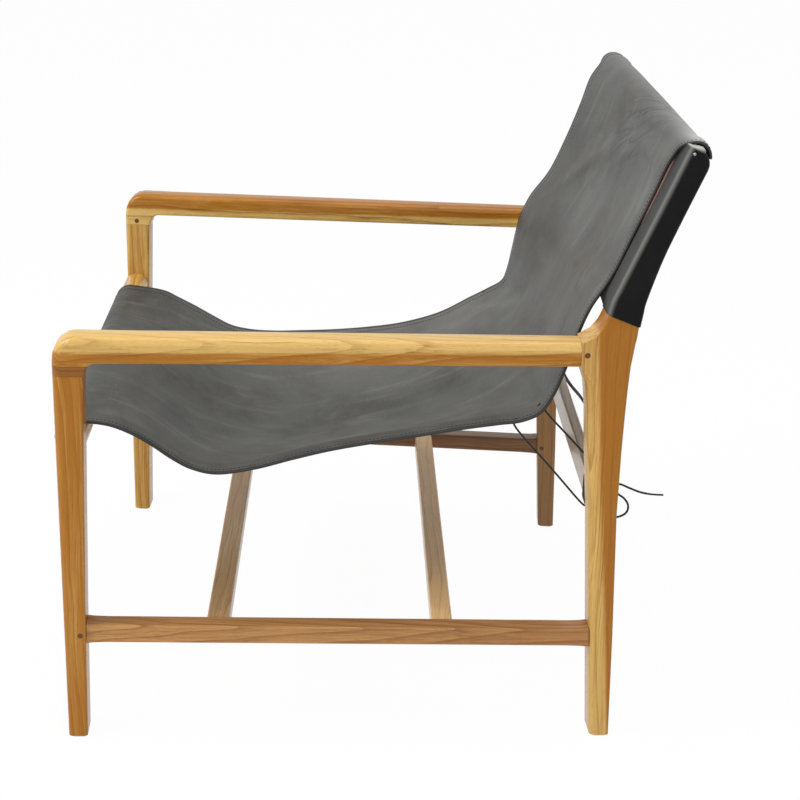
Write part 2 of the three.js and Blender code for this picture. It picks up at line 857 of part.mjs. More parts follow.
// The back beside the posts: height shares, and how far the leather stands before the post's front edge
// beyond its bare clearance, as shares of the post's width.
const backShares = [
  [0.398, 0.26, 0.407, -0.09, 0.398, 0.81, 0.95, 0.91],
  [0.511, 0.01, 0.52, -0.44, 0.511, 0.33, 0.955, 0.912],
  [0.658, 0.01, 0.664, -0.565, 0.66, 0.31, 0.955, 0.915],
  [0.813, 0.01, 0.817, -0.52, 0.807, 0.41, 0.96, 0.922],
];
const crestWidthShare = 0.973;
const frontWrapShares = { start: 1.6, end: 0.42 };

const clearHalf = (depth) => faceAcross(depth, boardThickness);

// The flanges toe in with the side frames, so their inboard edges stand further forward, and beside
// them the crest rail has begun to bow back.
const flangeShare = sleeveFlangeReach / clearHalf(frameDepth + backRake);
const flangeLead = sleeveFlangeReach * Math.sin(taper) + crestBow * (1 - (1 - flangeShare) ** 2);
const frontWrapRadius = Math.hypot(frontRailSize / 2 - frontRailRound, frontRailSize / 2 - frontRailRound)
  + frontRailRound + slingWrapClearance + slingThickness;
const backClearance = (slingThickness + 2 * jointGap) / Math.cos(topLean) + flangeLead;

// The front edge of the post at a height, read between its stations.
function postFront(height) {
  const edges = [
    sidePoint(buttDepth, armRearHeight),
    ...postShares.map((shares) => postEdges(shares).near),
    onPost(postTopRun, 0),
  ];
  const found = edges.findIndex((edge) => edge.y >= height);
  const next = found < 1 ? edges.length - 1 : found;
  const below = edges[next - 1];
  const above = edges[next];
  return mix(below.x, above.x, (height - below.y) / (above.y - below.y));
}

// Columns of the sling from its left edge to its right one. The outermost strip, which is sewn to the
// sleeves' flanges higher up, stays straight.
const halfColumnShares = [1, 0.9, 0.64, 0.33, 0];
const columnShares = [...halfColumnShares, ...halfColumnShares.slice(0, -1).map((share) => -share).reverse()];
const sagPowerShare = 2.2;

// A row of the sling, sagging to the middle.
function slingRow(left, middle, right) {
  return columnShares.map((side) => {
    const edge = side > 0 ? left : right;
    const pull = Math.min(1, Math.abs(side) / halfColumnShares[1]) ** sagPowerShare;
    return new THREE.Vector3(
      mix(right.x, left.x, (1 + side) / 2),
      mix(middle.y, edge.y, pull),
      mix(middle.z, edge.z, pull),
    );
  });
}

function slingGrid() {
  const rowFrom = (places, widths) => {
    const [left, middle, right] = places;
    return slingRow(
      new THREE.Vector3(widths[0] * clearHalf(left[0]), left[0], left[1]),
      new THREE.Vector3(0, middle[0], middle[1]),
      new THREE.Vector3(-widths[1] * clearHalf(right[0]), right[0], right[1]),
    );
  };
  const pairs = (shares) => [shares.slice(0, 2), shares.slice(2, 4), shares.slice(4, 6)];
  const rows = [];
  for (let step = 0; step <= frontWrapSteps; step += 1) {
    const angle = Math.PI * mix(frontWrapShares.start, frontWrapShares.end, step / frontWrapSteps);
    const depth = frontRailMiddle + frontWrapRadius * Math.cos(angle);
    const height = frontRailHeight + frontWrapRadius * Math.sin(angle);
    const place = [depth, height];
    rows.push(rowFrom([place, place, place], seatShares[0].slice(6)));
  }
  seatShares.forEach((shares) => {
    const places = pairs(shares).map(([depth, height]) => [frameDepth * depth, slingHeight * height]);
    rows.push(rowFrom(places, shares.slice(6)));
  });
  const foldHeight = slingHeight * foldHeightShare;
  foldShares.forEach((shares) => {
    const places = pairs(shares).map(([depth, rise]) => [
      frameDepth * depth,
      mix(foldHeight, backHeight, rise),
    ]);
    rows.push(rowFrom(places, shares.slice(6)));
  });
  backShares.forEach((shares) => {
    const places = pairs(shares).map(([rise, before]) => {
      const height = mix(foldHeight, backHeight, rise);
      return [chairDepth(postFront(height)) - backClearance - postWidth * before, height];
    });
    rows.push(rowFrom(places, shares.slice(6)));
  });
  rows.push(...crestRows());
  return rows;
}

// The leather's turn over the crest rail and the flap that hangs behind it.
const crestInnerRadius = (crestThickness + crestSetback + flangeLead + 2 * jointGap + crestWrapClearance) / 2;
const crestWrapBack = crestSetback + crestThickness + crestWrapClearance - crestInnerRadius;

function crestRows() {
  const outerRadius = crestInnerRadius + slingThickness;
  const row = (up, back) => {
    const [depth, height] = inChair(onPost(up, back));
    const half = crestWidthShare * clearHalf(depth);
    return columnShares.map((side) => new THREE.Vector3(
      side * half,
      depth + crestBow * (1 - side * side),
      height,
    ));
  };
  const rows = Array.from({ length: crestWrapSteps + 1 }, (_, step) => {
    const angle = Math.PI * (step / crestWrapSteps);
    return row(
      crestAxisUp + outerRadius * Math.sin(angle),
      crestWrapBack - outerRadius * Math.cos(angle),
    );
  });
  rows.push(row(crestAxisUp - crestFlapLength, crestWrapBack + outerRadius));
  return rows;
}

// A sheet with a thickness under a grid of points on its upper face.
function sheet(grid, thickness) {
  const rows = grid.length;
  const columns = grid[0].length;
  const clampedRow = (index) => grid[Math.min(rows - 1, Math.max(0, index))];
  const lower = grid.map((row, r) => row.map((point, c) => {
    const alongRows = clampedRow(r + 1)[c].clone().sub(clampedRow(r - 1)[c]);
    const alongRow = row[Math.min(columns - 1, c + 1)].clone().sub(row[Math.max(0, c - 1)]);
    const normal = alongRows.cross(alongRow).normalize();
    return point.clone().addScaledVector(normal, -thickness);
  }));
  const positions = [...grid.flat(), ...lower.flat()].flatMap((point) => point.toArray());
  const under = rows * columns;
  const place = (r, c) => r * columns + c;
  const triangles = [];
  const face = (p, q, r, s) => triangles.push(p, q, r, p, r, s);
  for (let r = 0; r + 1 < rows; r += 1) {
    for (let c = 0; c + 1 < columns; c += 1) {
      const corners = [place(r, c), place(r, c + 1), place(r + 1, c + 1), place(r + 1, c)];
      face(...corners);
      face(...corners.map((corner) => corner + under).reverse());
    }
  }
  const rim = [
    ...Array.from({ length: columns - 1 }, (_, c) => place(0, c)),
    ...Array.from({ length: rows - 1 }, (_, r) => place(r, columns - 1)),
    ...Array.from({ length: columns - 1 }, (_, c) => place(rows - 1, columns - 1 - c)),
    ...Array.from({ length: rows - 1 }, (_, r) => place(rows - 1 - r, 0)),
  ];
  rim.forEach((here, index) => {
    const next = rim[(index + 1) % rim.length];
    face(here, here + under, next + under, next);
  });
  return closedGeometry(positions, triangles);
}

// Tacks: one row under the front rail and one on the flap behind the crest rail.
const frontTackPlaces = Array.from({ length: tackCount }, (_, index) => {
  const share = (index + 0.5) / tackCount;
  const [leftShare, rightShare] = seatShares[0].slice(6);
  return new THREE.Vector3(
    mix(leftShare, -rightShare, share) * clearHalf(frontRailMiddle),
    frontRailMiddle,
    frontRailHeight - frontWrapRadius - jointGap,
  );
});

const crestTackPlaces = Array.from({ length: tackCount }, (_, index) => {
  const side = 1 - (2 * index + 1) / tackCount;
  const back = crestWrapBack + crestInnerRadius + slingThickness + jointGap;
  const [depth, height] = inChair(onPost(crestAxisUp - crestFlapLength / 2, back));
  const half = crestWidthShare * clearHalf(depth);
  return new THREE.Vector3(side * half, depth + crestBow * (1 - side * side), height);
});

// A nail's head and shank, or the hole for its shank, at a place and turned about X.
function nailAt(place, turn) {
  return headedNail(tackHeadRadius).rotateX(turn).translate(place.x, place.y, place.z);
}

function nailHole(place, turn) {
  const radius = tackShankRadius + jointGap;
  const length = tackShankLength + overrun + jointGap;
  return new THREE.CylinderGeometry(radius, radius, length, tackSides)
    .translate(0, overrun - length / 2, 0)
    .rotateX(turn)
    .translate(place.x, place.y, place.z);
}

const downwards = -Math.PI / 2;
const backwards = -topLean;
const frontTacks = frontTackPlaces.map((place) => nailAt(place, downwards));
const frontTackHoles = frontTackPlaces.map((place) => nailHole(place, downwards));
const crestTacks = crestTackPlaces.map((place) => nailAt(place, backwards));
const crestTackHoles = crestTackPlaces.map((place) => nailHole(place, backwards));

// A lacing run as it is held, as x, depth and height. It starts under the rear rail beside the winding,
// is stitched through the sling twice near its edge and goes back over the rail.
const stitchedPoints = [
  [248, 619.2, 281.5],
  [248, 615.5, 281.5],
  [248, 610.5, 282.8],
  [247, 604, 288.5],
  [245.5, 573, 325.5],
  [243.5, 545, 356],
  [242.5, 530, 373],
  [242, 526, 378.4],
  [241.8, 523.2, 383.2],
  [241.6, 522.2, 386.4],
  [241.3, 523.6, 388.4],
  [241, 526.6, 389],
  [240.4, 529.2, 387.2],
  [239.6, 532, 385.4],
  [238.4, 536.5, 386.6],
  [236.4, 541.5, 388.8],
  [232.4, 547, 391.5],
  [228.4, 551.2, 394.6],
  [226.6, 552.6, 397.4],
  [226.2, 552.8, 400.2],
  [226, 554.8, 402.4],
  [226, 557.4, 402],
  [226, 559, 398.8],
  [226, 560.4, 393.8],
  [226.6, 570, 383.3],
  [227.6, 585, 367.5],
  [229, 610.2, 341.1],
  [226.5, 618, 330.5],
  [224, 622, 323.2],
  [221, 626.6, 321.2],
  [218, 630.6, 317],
];

// The end of the right cord, tucked along the back of the rail.
const tuckedPoints = [
  [212, 630.8, 314],
  [196, 630.6, 313],
  [150, 630.6, 313],
];

// The left cord's spare length: a doubled loop that arches along the back of the rail and comes back.
const loopPoints = [
  [205, 632, 321],
  [180, 633, 328],
  [150, 633.5, 334],
  [120, 633.5, 338],
  [90, 633, 340],
  [60, 632.1, 339.2],
  [30, 631.5, 335],
  [0, 631, 329],
  [-30, 630.8, 322.5],
  [-60, 630.8, 316.5],
  [-90, 630.8, 311.5],
  [-115, 630.8, 308.5],
  [-121, 630.8, 307.8],
  [-124.3, 630.9, 305.3],
  [-121, 631, 302.8],
  [-115, 631, 303],
  [-90, 631.2, 307],
  [-60, 631.4, 312.6],
  [-30, 631.6, 318.8],
  [0, 632, 325.3],
  [30, 632.4, 331.4],
  [60, 633, 335.8],
  [90, 633.8, 336.8],
  [120, 634.2, 334.9],
  [150, 634.2, 331],
  [180, 634, 325],
  [203, 634.2, 317.5],
  [212, 635, 309],
  [214.5, 636, 300],
  [215, 636.5, 290],
];

// The free end of the lacing: out of the winding, once round in a hanging loop, and straight back.
const tailPoints = [
  [229.2, 628.4, 301.4],
  [228.8, 628.8, 305.5],
  [228.6, 631, 312],
  [230.5, 636, 315.5],
  [234, 641, 309],
  [237, 645, 300],
  [238.5, 651, 294.2],
  [239, 657.5, 289.6],
  [239, 662.4, 282.8],
  [239, 663.4, 275.2],
  [239, 660, 269],
  [239.3, 652.5, 265.2],
  [240, 645, 265.3],
  [241.8, 639, 270],
  [243.4, 636.6, 280],
  [244.6, 636.4, 291],
  [245.6, 638, 302],
  [246, 643, 309.6],
  [246, 651, 310.6],
  [246, 662, 306],
  [246, 675, 301],
  [246, 688, 298.6],
  [246, 702, 298],
];

// A curve whose steps follow its points, so that short stitches keep their shape beside long runs.
class HeldRoute extends THREE.CatmullRomCurve3 {
  getPointAt(share, target) {
    return this.getPoint(share, target);
  }

  getTangentAt(share, target) {
    return this.getTangent(share, target);
  }
}

function tube(curve, radius, steps, sides) {
  const section = new THREE.Shape();
  section.absarc(0, 0, radius, 0, 2 * Math.PI);
  return new THREE.ExtrudeGeometry(section, {
    steps,
    curveSegments: sides / 2,
    bevelEnabled: false,
    extrudePath: curve,
  });
}

// The routes are drawn for a rear rail in this place and for leather at this height. They move with the
// rail up to its reach, with the leather above the leather's reach, and are stretched in between.
const drawnFor = {
  railDepth: 619.6,
  railHeight: 301,
  railReach: 342,
  leatherReach: 372,
  leatherHeight: 391,
};

function onRoute([x, depth, height]) {
  const share = THREE.MathUtils.clamp(
    (height - drawnFor.railReach) / (drawnFor.leatherReach - drawnFor.railReach),
    0,
    1,
  );
  const lift = mix(rearRailHeight - drawnFor.railHeight, slingHeight - drawnFor.leatherHeight, share);
  return new THREE.Vector3(x, depth * (rearRailMiddle / drawnFor.railDepth), height + lift);
}

const lacingLeft = [...stitchedPoints, ...loopPoints].map(onRoute);
const lacingRight = [...stitchedPoints, ...tuckedPoints]
  .map(onRoute)
  .map((point) => new THREE.Vector3(slingShift - point.x, point.y, point.z));

function lacingTube(points) {
  return tube(new HeldRoute(points), cordRadius, points.length - 1, cordSides);
}

// What the lacing leaves free where it passes through the leather.
function lacingHole(points) {
  return tube(new HeldRoute(points), cordRadius + 2 * jointGap, points.length - 1, cordHoleSides);
}

// The winding round the rear rail, as one unbroken helix on the rail's rounded section.
class Winding extends THREE.Curve {
  constructor(start, direction, turns) {
    super();
    const reach = windingClearance + cordRadius;
    const wide = rearRailWidth / 2 - arris;
    const tall = rearRailTall / 2 - arris;
    const round = arris + reach;
    this.loop = new THREE.Path();
    this.loop.moveTo(0, -tall - round);
    this.loop.lineTo(wide, -tall - round);
    this.loop.absarc(wide, -tall, round, -Math.PI / 2, 0);
    this.loop.absarc(wide, tall, round, 0, Math.PI / 2);
    this.loop.absarc(-wide, tall, round, Math.PI / 2, Math.PI);
    this.loop.absarc(-wide, -tall, round, Math.PI, 1.5 * Math.PI);
    this.loop.lineTo(0, -tall - round);
    this.start = start;
    this.direction = direction;
    this.turns = turns;
  }

  getPoint(share, target = new THREE.Vector3()) {
    const turned = share * this.turns;
    const around = this.loop.getPointAt(((turned % 1) + 1) % 1);
    return target.set(
      this.start + this.direction * windingPitch * turned,
      rearRailMiddle + around.x,
      rearRailHeight + around.y,
    );
  }

  getPointAt(share, target) {
    return this.getPoint(share, target);
  }

  getTangentAt(share, target) {
    return this.getTangent(share, target);
  }
}

// The least gap between two turns of a winding, measured on its points.
function leastGap(winding) {
  const steps = Math.round(winding.turns * windingSteps);
  const points = Array.from({ length: steps + 1 }, (_, step) => winding.getPoint(step / steps));
  let least = Infinity;
  points.forEach((point, index) => {
    points.slice(index + windingSteps / 2).forEach((other) => {
      least = Math.min(least, point.distanceTo(other));
    });
  });
  return least - cordDiameter;
}

function windingTube(winding, growth) {
  return tube(winding, cordRadius + growth, Math.round(winding.turns * windingSteps), windingSides);
}

const windingLeft = new Winding(leftWindingStart, -1, leftWindingTurns + 0.25);
const windingRight = new Winding(slingShift - leftWindingStart, 1, rightWindingTurns + 0.25);
console.log(`least gap between turns: left ${leastGap(windingLeft).toFixed(2)} mm`);
console.log(`least gap between turns: right ${leastGap(windingRight).toFixed(2)} mm`);

// Pieces of the left side frame, cut for the rails and dowels that they take.
const legMortiseCutters = {
  frontLeg: [
    ...sideRailTenonBlocks(jointGap),
    ...frontRailTenons(jointGap).slice(0, 1).map(inLeftFrame),
    pin(pinPlaces.railFront, jointGap),
    pin(pinPlaces.heel, jointGap),
  ],
  backLeg: [
    armTenonBlock(jointGap),
    ...sideRailTenonBlocks(jointGap),
    ...rearRailTenons(jointGap).slice(0, 1).map(inLeftFrame),
    ...crestTenons(jointGap).slice(0, 1).map(inLeftFrame),
    pin(pinPlaces.armRear, jointGap),
    pin(pinPlaces.railRear, jointGap),
    studShank(jointGap),
  ],
};

const sidePieces = [
  { name: "front_leg", material: wood, geometry: cut(frontLeg(), legMortiseCutters.frontLeg) },
  {
    name: "arm_heel",
    material: endWood,
    geometry: cut(armHeel(), [frontLegTenonBlock(jointGap), pin(pinPlaces.heel, jointGap)]),
  },
  {
    name: "armrest",
    material: wood,
    geometry: cut(armrest(), [frontLegTenonBlock(jointGap), pin(pinPlaces.armRear, jointGap)]),
  },
  { name: "back_leg", material: wood, geometry: cut(backLeg(), legMortiseCutters.backLeg) },
  {
    name: "side_rail",
    material: wood,
    geometry: cut(sideRail(), [
      ...lowRails.flatMap((rail) => lowRailTenons(rail, jointGap).slice(0, 1)).map(inLeftFrame),
      pin(pinPlaces.railFront, jointGap),
      pin(pinPlaces.railRear, jointGap),
    ]),
  },
  { name: "arm_pin", material: endWood, geometry: pin(pinPlaces.armRear, 0) },
  { name: "heel_pin", material: endWood, geometry: pin(pinPlaces.heel, 0) },
  { name: "rail_pin_front", material: endWood, geometry: pin(pinPlaces.railFront, 0) },
  { name: "rail_pin_rear", material: endWood, geometry: pin(pinPlaces.railRear, 0) },
  { name: "post_sleeve", material: sleeveHide, geometry: postSleeve() },
  { name: "sleeve_stud", material: darkMetal, geometry: sleeveStud() },
];

function namedMesh(name, geometry, material) {
  const mesh = new THREE.Mesh(toCreasedNormals(geometry, creaseAngle), material);
  mesh.name = name;
  return mesh;
}

// One side frame as a group, toed in at the back; the right one is the left one's mirror image.
function sideFrame(side) {
  const isLeft = side === "left";
  const group = new THREE.Group();
  sidePieces.forEach((piece) => {
    const geometry = isLeft ? piece.geometry : mirrored(piece.geometry);
    group.add(namedMesh(`${piece.name}_${side}`, geometry, piece.material));
  });
  group.position.x = isLeft ? frontWidth / 2 : -frontWidth / 2;
  group.rotation.z = isLeft ? taper : -taper;
  return group;
}

const slingCutters = [
  lacingHole(lacingLeft),
  lacingHole(lacingRight),
  ...frontTackHoles,
  ...crestTackHoles,
];

const chair = new THREE.Group();
chair.add(
  sideFrame("left"),
  sideFrame("right"),
  ...lowRails.map((rail) => namedMesh(rail.name, lowCrossRail(rail), wood)),
  namedMesh("front_seat_rail", cut(frontSeatRail(), frontTackHoles), wood),
  namedMesh("rear_seat_rail", rearSeatRail(), wood),
  namedMesh("crest_rail", cut(joined(crestRail(0), crestTenons(0)), crestTackHoles), wood),
  namedMesh("sling_leather", cut(sheet(slingGrid(), slingThickness), slingCutters), leather),
  ...frontTacks.map((tack, index) => namedMesh(`front_rail_tack_${index + 1}`, tack, darkMetal)),
  ...crestTacks.map((tack, index) => namedMesh(`crest_rail_tack_${index + 1}`, tack, darkMetal)),
  namedMesh("lacing_cord_left", lacingTube(lacingLeft), cordHide),
  namedMesh("lacing_cord_right", lacingTube(lacingRight), cordHide),
  namedMesh("lacing_wrap_left", windingTube(windingLeft, 0), cordHide),
  namedMesh("lacing_wrap_right", windingTube(windingRight, 0), cordHide),
);

// The chair stands over the middle of its own footprint, which its loose cord end doesn't count in.
const footprint = new THREE.Box3().setFromObject(chair);
chair.add(namedMesh(
  "lacing_tail",
  tube(new THREE.CatmullRomCurve3(tailPoints.map(onRoute)), cordRadius, 2 * tailPoints.length, cordSides),
  cordHide,
));
chair.position.y = -(footprint.min.y + footprint.max.y) / 2;
chair.updateMatrixWorld(true);

export default chair;
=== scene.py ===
"""The finish of a leather sling lounge chair: oiled wood, a black hide and its lacing.

Lengths are in metres. X points to the sitter's left, Y to the back of the chair and Z up.
"Depth" runs back from the front of the front legs, along the side frames.
"""
import math

import bmesh
import bpy
import numpy as np
from mathutils import Matrix, Vector


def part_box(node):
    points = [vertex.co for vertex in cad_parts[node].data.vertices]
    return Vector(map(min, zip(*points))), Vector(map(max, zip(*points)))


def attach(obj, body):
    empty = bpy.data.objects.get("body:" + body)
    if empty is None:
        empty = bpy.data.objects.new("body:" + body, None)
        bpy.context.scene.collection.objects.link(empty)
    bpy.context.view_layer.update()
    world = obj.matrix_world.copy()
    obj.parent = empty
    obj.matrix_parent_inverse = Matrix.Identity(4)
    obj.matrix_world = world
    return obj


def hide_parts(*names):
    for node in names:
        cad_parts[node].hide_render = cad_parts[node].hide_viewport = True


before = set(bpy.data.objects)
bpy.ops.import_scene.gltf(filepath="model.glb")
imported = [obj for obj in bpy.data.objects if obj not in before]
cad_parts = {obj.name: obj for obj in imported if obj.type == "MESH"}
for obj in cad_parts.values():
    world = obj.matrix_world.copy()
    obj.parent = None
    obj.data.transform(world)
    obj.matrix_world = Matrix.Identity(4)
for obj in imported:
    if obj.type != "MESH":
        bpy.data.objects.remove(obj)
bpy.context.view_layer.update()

MM = 0.001
HANDS = ((1, "left"), (-1, "right"))


def placed(name, data):
    """A new object at the origin, in the scene."""
    piece = bpy.data.objects.new(name, data)
    bpy.context.scene.collection.objects.link(piece)
    return piece


def middle_of(node):
    """The middle of a CAD node's box."""
    low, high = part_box(node)
    return (low + high) / 2


# The frame's own sizes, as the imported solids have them
FRONT_WIDTH = 0.650
REAR_WIDTH = 0.586
FRAME_DEPTH = 0.651
BOARD = 0.034
FRONT_RAIL_DEPTH = 0.01311
DEPTH_ZERO = middle_of("front_seat_rail").y - FRONT_RAIL_DEPTH
TAPER = math.atan2((FRONT_WIDTH - REAR_WIDTH) / 2, FRAME_DEPTH)


def deep(depth):
    """Y of a depth in the chair."""
    return DEPTH_ZERO + depth


# The photograph's view
PHOTO_PIXELS = 800
FOCAL_PIXELS = 1594
CENTRE_PIXEL = (294, 272)
CAMERA_PLACE = Vector((1.964, -0.0306, 1.113))
CAMERA_YAW = math.radians(-2.01)
CAMERA_PITCH = math.radians(17.68)
CAMERA_ROLL = math.radians(0.35)
SENSOR = 36


def place_camera():
    """The camera stands at the sitter's left and looks a little down, as in the photograph."""
    lens = bpy.data.cameras.new("photo_view")
    lens.sensor_width = SENSOR
    lens.lens = FOCAL_PIXELS / PHOTO_PIXELS * SENSOR
    lens.shift_x = 0.5 - CENTRE_PIXEL[0] / PHOTO_PIXELS
    lens.shift_y = CENTRE_PIXEL[1] / PHOTO_PIXELS - 0.5
    camera = placed("photo_view", lens)
    ahead = Vector((
        -math.cos(CAMERA_PITCH) * math.cos(CAMERA_YAW),
        math.cos(CAMERA_PITCH) * math.sin(CAMERA_YAW),
        -math.sin(CAMERA_PITCH),
    ))
    right = Vector((math.sin(CAMERA_YAW), math.cos(CAMERA_YAW), 0))
    up = right.cross(ahead)
    rolled_right = math.cos(CAMERA_ROLL) * right + math.sin(CAMERA_ROLL) * up
    rolled_up = math.cos(CAMERA_ROLL) * up - math.sin(CAMERA_ROLL) * right
    camera.matrix_world = Matrix.Translation(CAMERA_PLACE) @ Matrix(
        (rolled_right, rolled_up, -ahead)).transposed().to_4x4()
    bpy.context.scene.camera = camera


place_camera()


# Building meshes

def mesh_piece(name, verts, faces, face_slots=None, materials=(), smooth=True):
    """A new object at the origin from corners and faces."""
    mesh = bpy.data.meshes.new(name)
    mesh.from_pydata([tuple(v) for v in verts], [], faces)
    for material in materials:
        mesh.materials.append(material)
    if face_slots is not None:
        mesh.polygons.foreach_set("material_index", face_slots)
    mesh.polygons.foreach_set("use_smooth", [smooth] * len(mesh.polygons))
    mesh.update()
    return placed(name, mesh)


def outward(piece):
    """Turns all of a closed piece's faces outwards."""
    work = bmesh.new()
    work.from_mesh(piece.data)
    bmesh.ops.recalc_face_normals(work, faces=work.faces)
    work.to_mesh(piece.data)
    work.free()
    return piece


def settled(piece, smooth=False):
    """Makes the piece's modifiers part of its mesh."""
    bpy.context.view_layer.update()
    ready = piece.evaluated_get(bpy.context.evaluated_depsgraph_get())
    old, mesh = piece.data, bpy.data.meshes.new_from_object(ready)
    piece.modifiers.clear()
    piece.data = mesh
    bpy.data.meshes.remove(old)
    if smooth:
        mesh.polygons.foreach_set("use_smooth", [True] * len(mesh.polygons))


def mark(piece, label, values):
    """Gives each corner of a piece's mesh a number under a label."""
    piece.data.attributes.new(label, "FLOAT", "POINT").data.foreach_set("value", values)


def clipped(value):
    return min(1.0, max(0.0, value))


def curve_through(points, steps):
    """A smooth line through points, with so many steps between each two of them."""
    places = [Vector(p) for p in points]
    ends = [2 * places[0] - places[1], *places, 2 * places[-1] - places[-2]]
    line = []
    for a, b, c, d in zip(ends, ends[1:], ends[2:], ends[3:]):
        for step in range(steps):
            t = step / steps
            line.append(0.5 * (
                2 * b + (c - a) * t + (2 * a - 5 * b + 4 * c - d) * t ** 2
                + (3 * b - a - 3 * c + d) * t ** 3))
    line.append(places[-1])
    return line


def tube_rings(line, radius, sides):
    """Rings of a tube along a line, turned as little as possible; radius follows the way and the turn."""
    tangents = [(b - a).normalized() for a, b in zip(line, line[1:])]
    tangents = [tangents[0], *[(a + b).normalized() for a, b in zip(tangents, tangents[1:])], tangents[-1]]
    side = tangents[0].orthogonal().normalized()
    rings, way = [], 0.0
    for before, place, tangent in zip([line[0], *line], line, tangents):
        way += (place - before).length
        side = (side - tangent * side.dot(tangent)).normalized()
        other = tangent.cross(side)
        rings.append([
            place + radius(way, turn) * (math.cos(turn) * side + math.sin(turn) * other)
            for turn in (2 * math.pi * k / sides for k in range(sides))
        ])
    return rings


def lofted(rings):
    """Corners and faces of a closed solid through rings that have as many points each."""
    count = len(rings[0])
    verts = [point for ring in rings for point in ring]
    faces = []
    for row in range(len(rings) - 1):
        for k in range(count):
            here, after = row * count + k, row * count + (k + 1) % count
            faces.append((here, after, after + count, here + count))
    faces.append(tuple(reversed(range(count))))
    faces.append(tuple(range(len(verts) - count, len(verts))))
    return verts, faces


def length_of(line):
    return sum((b - a).length for a, b in zip(line, line[1:]))


# The lacing's free end comes before the rest, as every cord does
CORD = 0.0024
CORD_SIDES = 16
TAIL_TWIST = 0.009
TAIL_WORN = 0.012
TAIL_WEARING = 0.01
TAIL_POINTS = [
    (229.2, 628.4, 301.4), (228.8, 628.8, 305.5), (228.6, 631, 312), (230.5, 636, 315.5),
    (234, 641, 309), (237, 645, 300), (238.5, 651, 294.2), (239, 657.5, 289.6), (239, 662.4, 282.8),
    (239, 663.4, 275.2), (239, 660, 269), (239.3, 652.5, 265.2), (240, 645, 265.3), (241.8, 639, 270),
    (243.4, 636.6, 280), (244.6, 636.4, 291), (245.6, 638, 302), (246, 643, 309.6), (246, 651, 310.6),
    (246, 662, 306), (246, 675, 301), (246, 688, 298.6), (246, 702, 298),
]
tail_line = curve_through([(x * MM, deep(y * MM), z * MM) for x, y, z in TAIL_POINTS], 8)


def tail_radius(way, turn):
    """Two strands twisted together, which end in one worn thin."""
    whole = clipped((length_of(tail_line) - way - TAIL_WORN) / TAIL_WEARING)
    strands = math.cos(2 * (turn - 2 * math.pi * way / TAIL_TWIST))
    return CORD / 2 * (0.92 + 0.22 * whole * (0.6 + 0.4 * strands))


def lacing_tail():
    """The free end: out of the winding, once round in a hanging loop, and straight back."""
    verts, faces = lofted(tube_rings(tail_line, tail_radius, CORD_SIDES))
    piece = outward(mesh_piece("lacing_end", verts, faces))
    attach(piece, "root")
    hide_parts("lacing_tail")
    return piece


tail = lacing_tail()


# Building materials

def fed(tree, node, inputs):
    """Sets or links a node's inputs, by name or number."""
    for key, value in inputs.items():
        if isinstance(value, bpy.types.NodeSocket):
            tree.links.new(value, node.inputs[key])
        else:
            node.inputs[key].default_value = value


def add(tree, kind, inputs=None, **settings):
    """A node with its settings made and its inputs fed."""
    node = tree.nodes.new(kind)
    for key, value in settings.items():
        setattr(node, key, value)
    fed(tree, node, inputs or {})
    return node


def first(tree, kind, inputs=None, **settings):
    """The first output of a new node."""
    return add(tree, kind, inputs, **settings).outputs[0]


def node_group(name, tree_kind, inputs, outputs):
    """An empty node group with inputs of a kind and value, and outputs; gives it and its two ends."""
    tree = bpy.data.node_groups.new(name, tree_kind)
    for label, (kind, value) in inputs.items():
        socket = tree.interface.new_socket(label, in_out="INPUT", socket_type=f"NodeSocket{kind}")
        if value is not None:
            socket.default_value = value
    for label, kind in outputs.items():
        tree.interface.new_socket(label, in_out="OUTPUT", socket_type=f"NodeSocket{kind}")
    return tree, tree.nodes.new("NodeGroupInput").outputs, tree.nodes.new("NodeGroupOutput").inputs


def maths(tree, operation, a, b=0.0):
    return first(tree, "ShaderNodeMath", {0: a, 1: b}, operation=operation)


def ranged(tree, value, low, high, to_low=0.0, to_high=1.0):
    """A value taken from one range to another, smoothly and without passing its ends."""
    return add(tree, "ShaderNodeMapRange", {
        "Value": value, "From Min": low, "From Max": high, "To Min": to_low, "To Max": to_high,
    }, interpolation_type="SMOOTHSTEP").outputs["Result"]


def stretched(tree, vector, scale):
    return first(tree, "ShaderNodeVectorMath", {0: vector, 1: scale}, operation="MULTIPLY")


def noise(tree, place, scale, detail, roughness=0.5, distortion=0.0):
    """Noise of one scale, or of a scale along each axis."""
    if isinstance(scale, tuple):
        place, scale = stretched(tree, place, scale), 1.0
    return add(tree, "ShaderNodeTexNoise", {
        "Vector": place, "Scale": scale, "Detail": detail, "Roughness": roughness,
        "Distortion": distortion,
    }).outputs["Fac"]


def blended(tree, factor, a, b):
    """A colour between two, by a factor."""
    return add(tree, "ShaderNodeMix", {"Factor": factor, 6: a, 7: b}, data_type="RGBA").outputs[2]


def tint(red, green, blue):
    return (red, green, blue, 1.0)


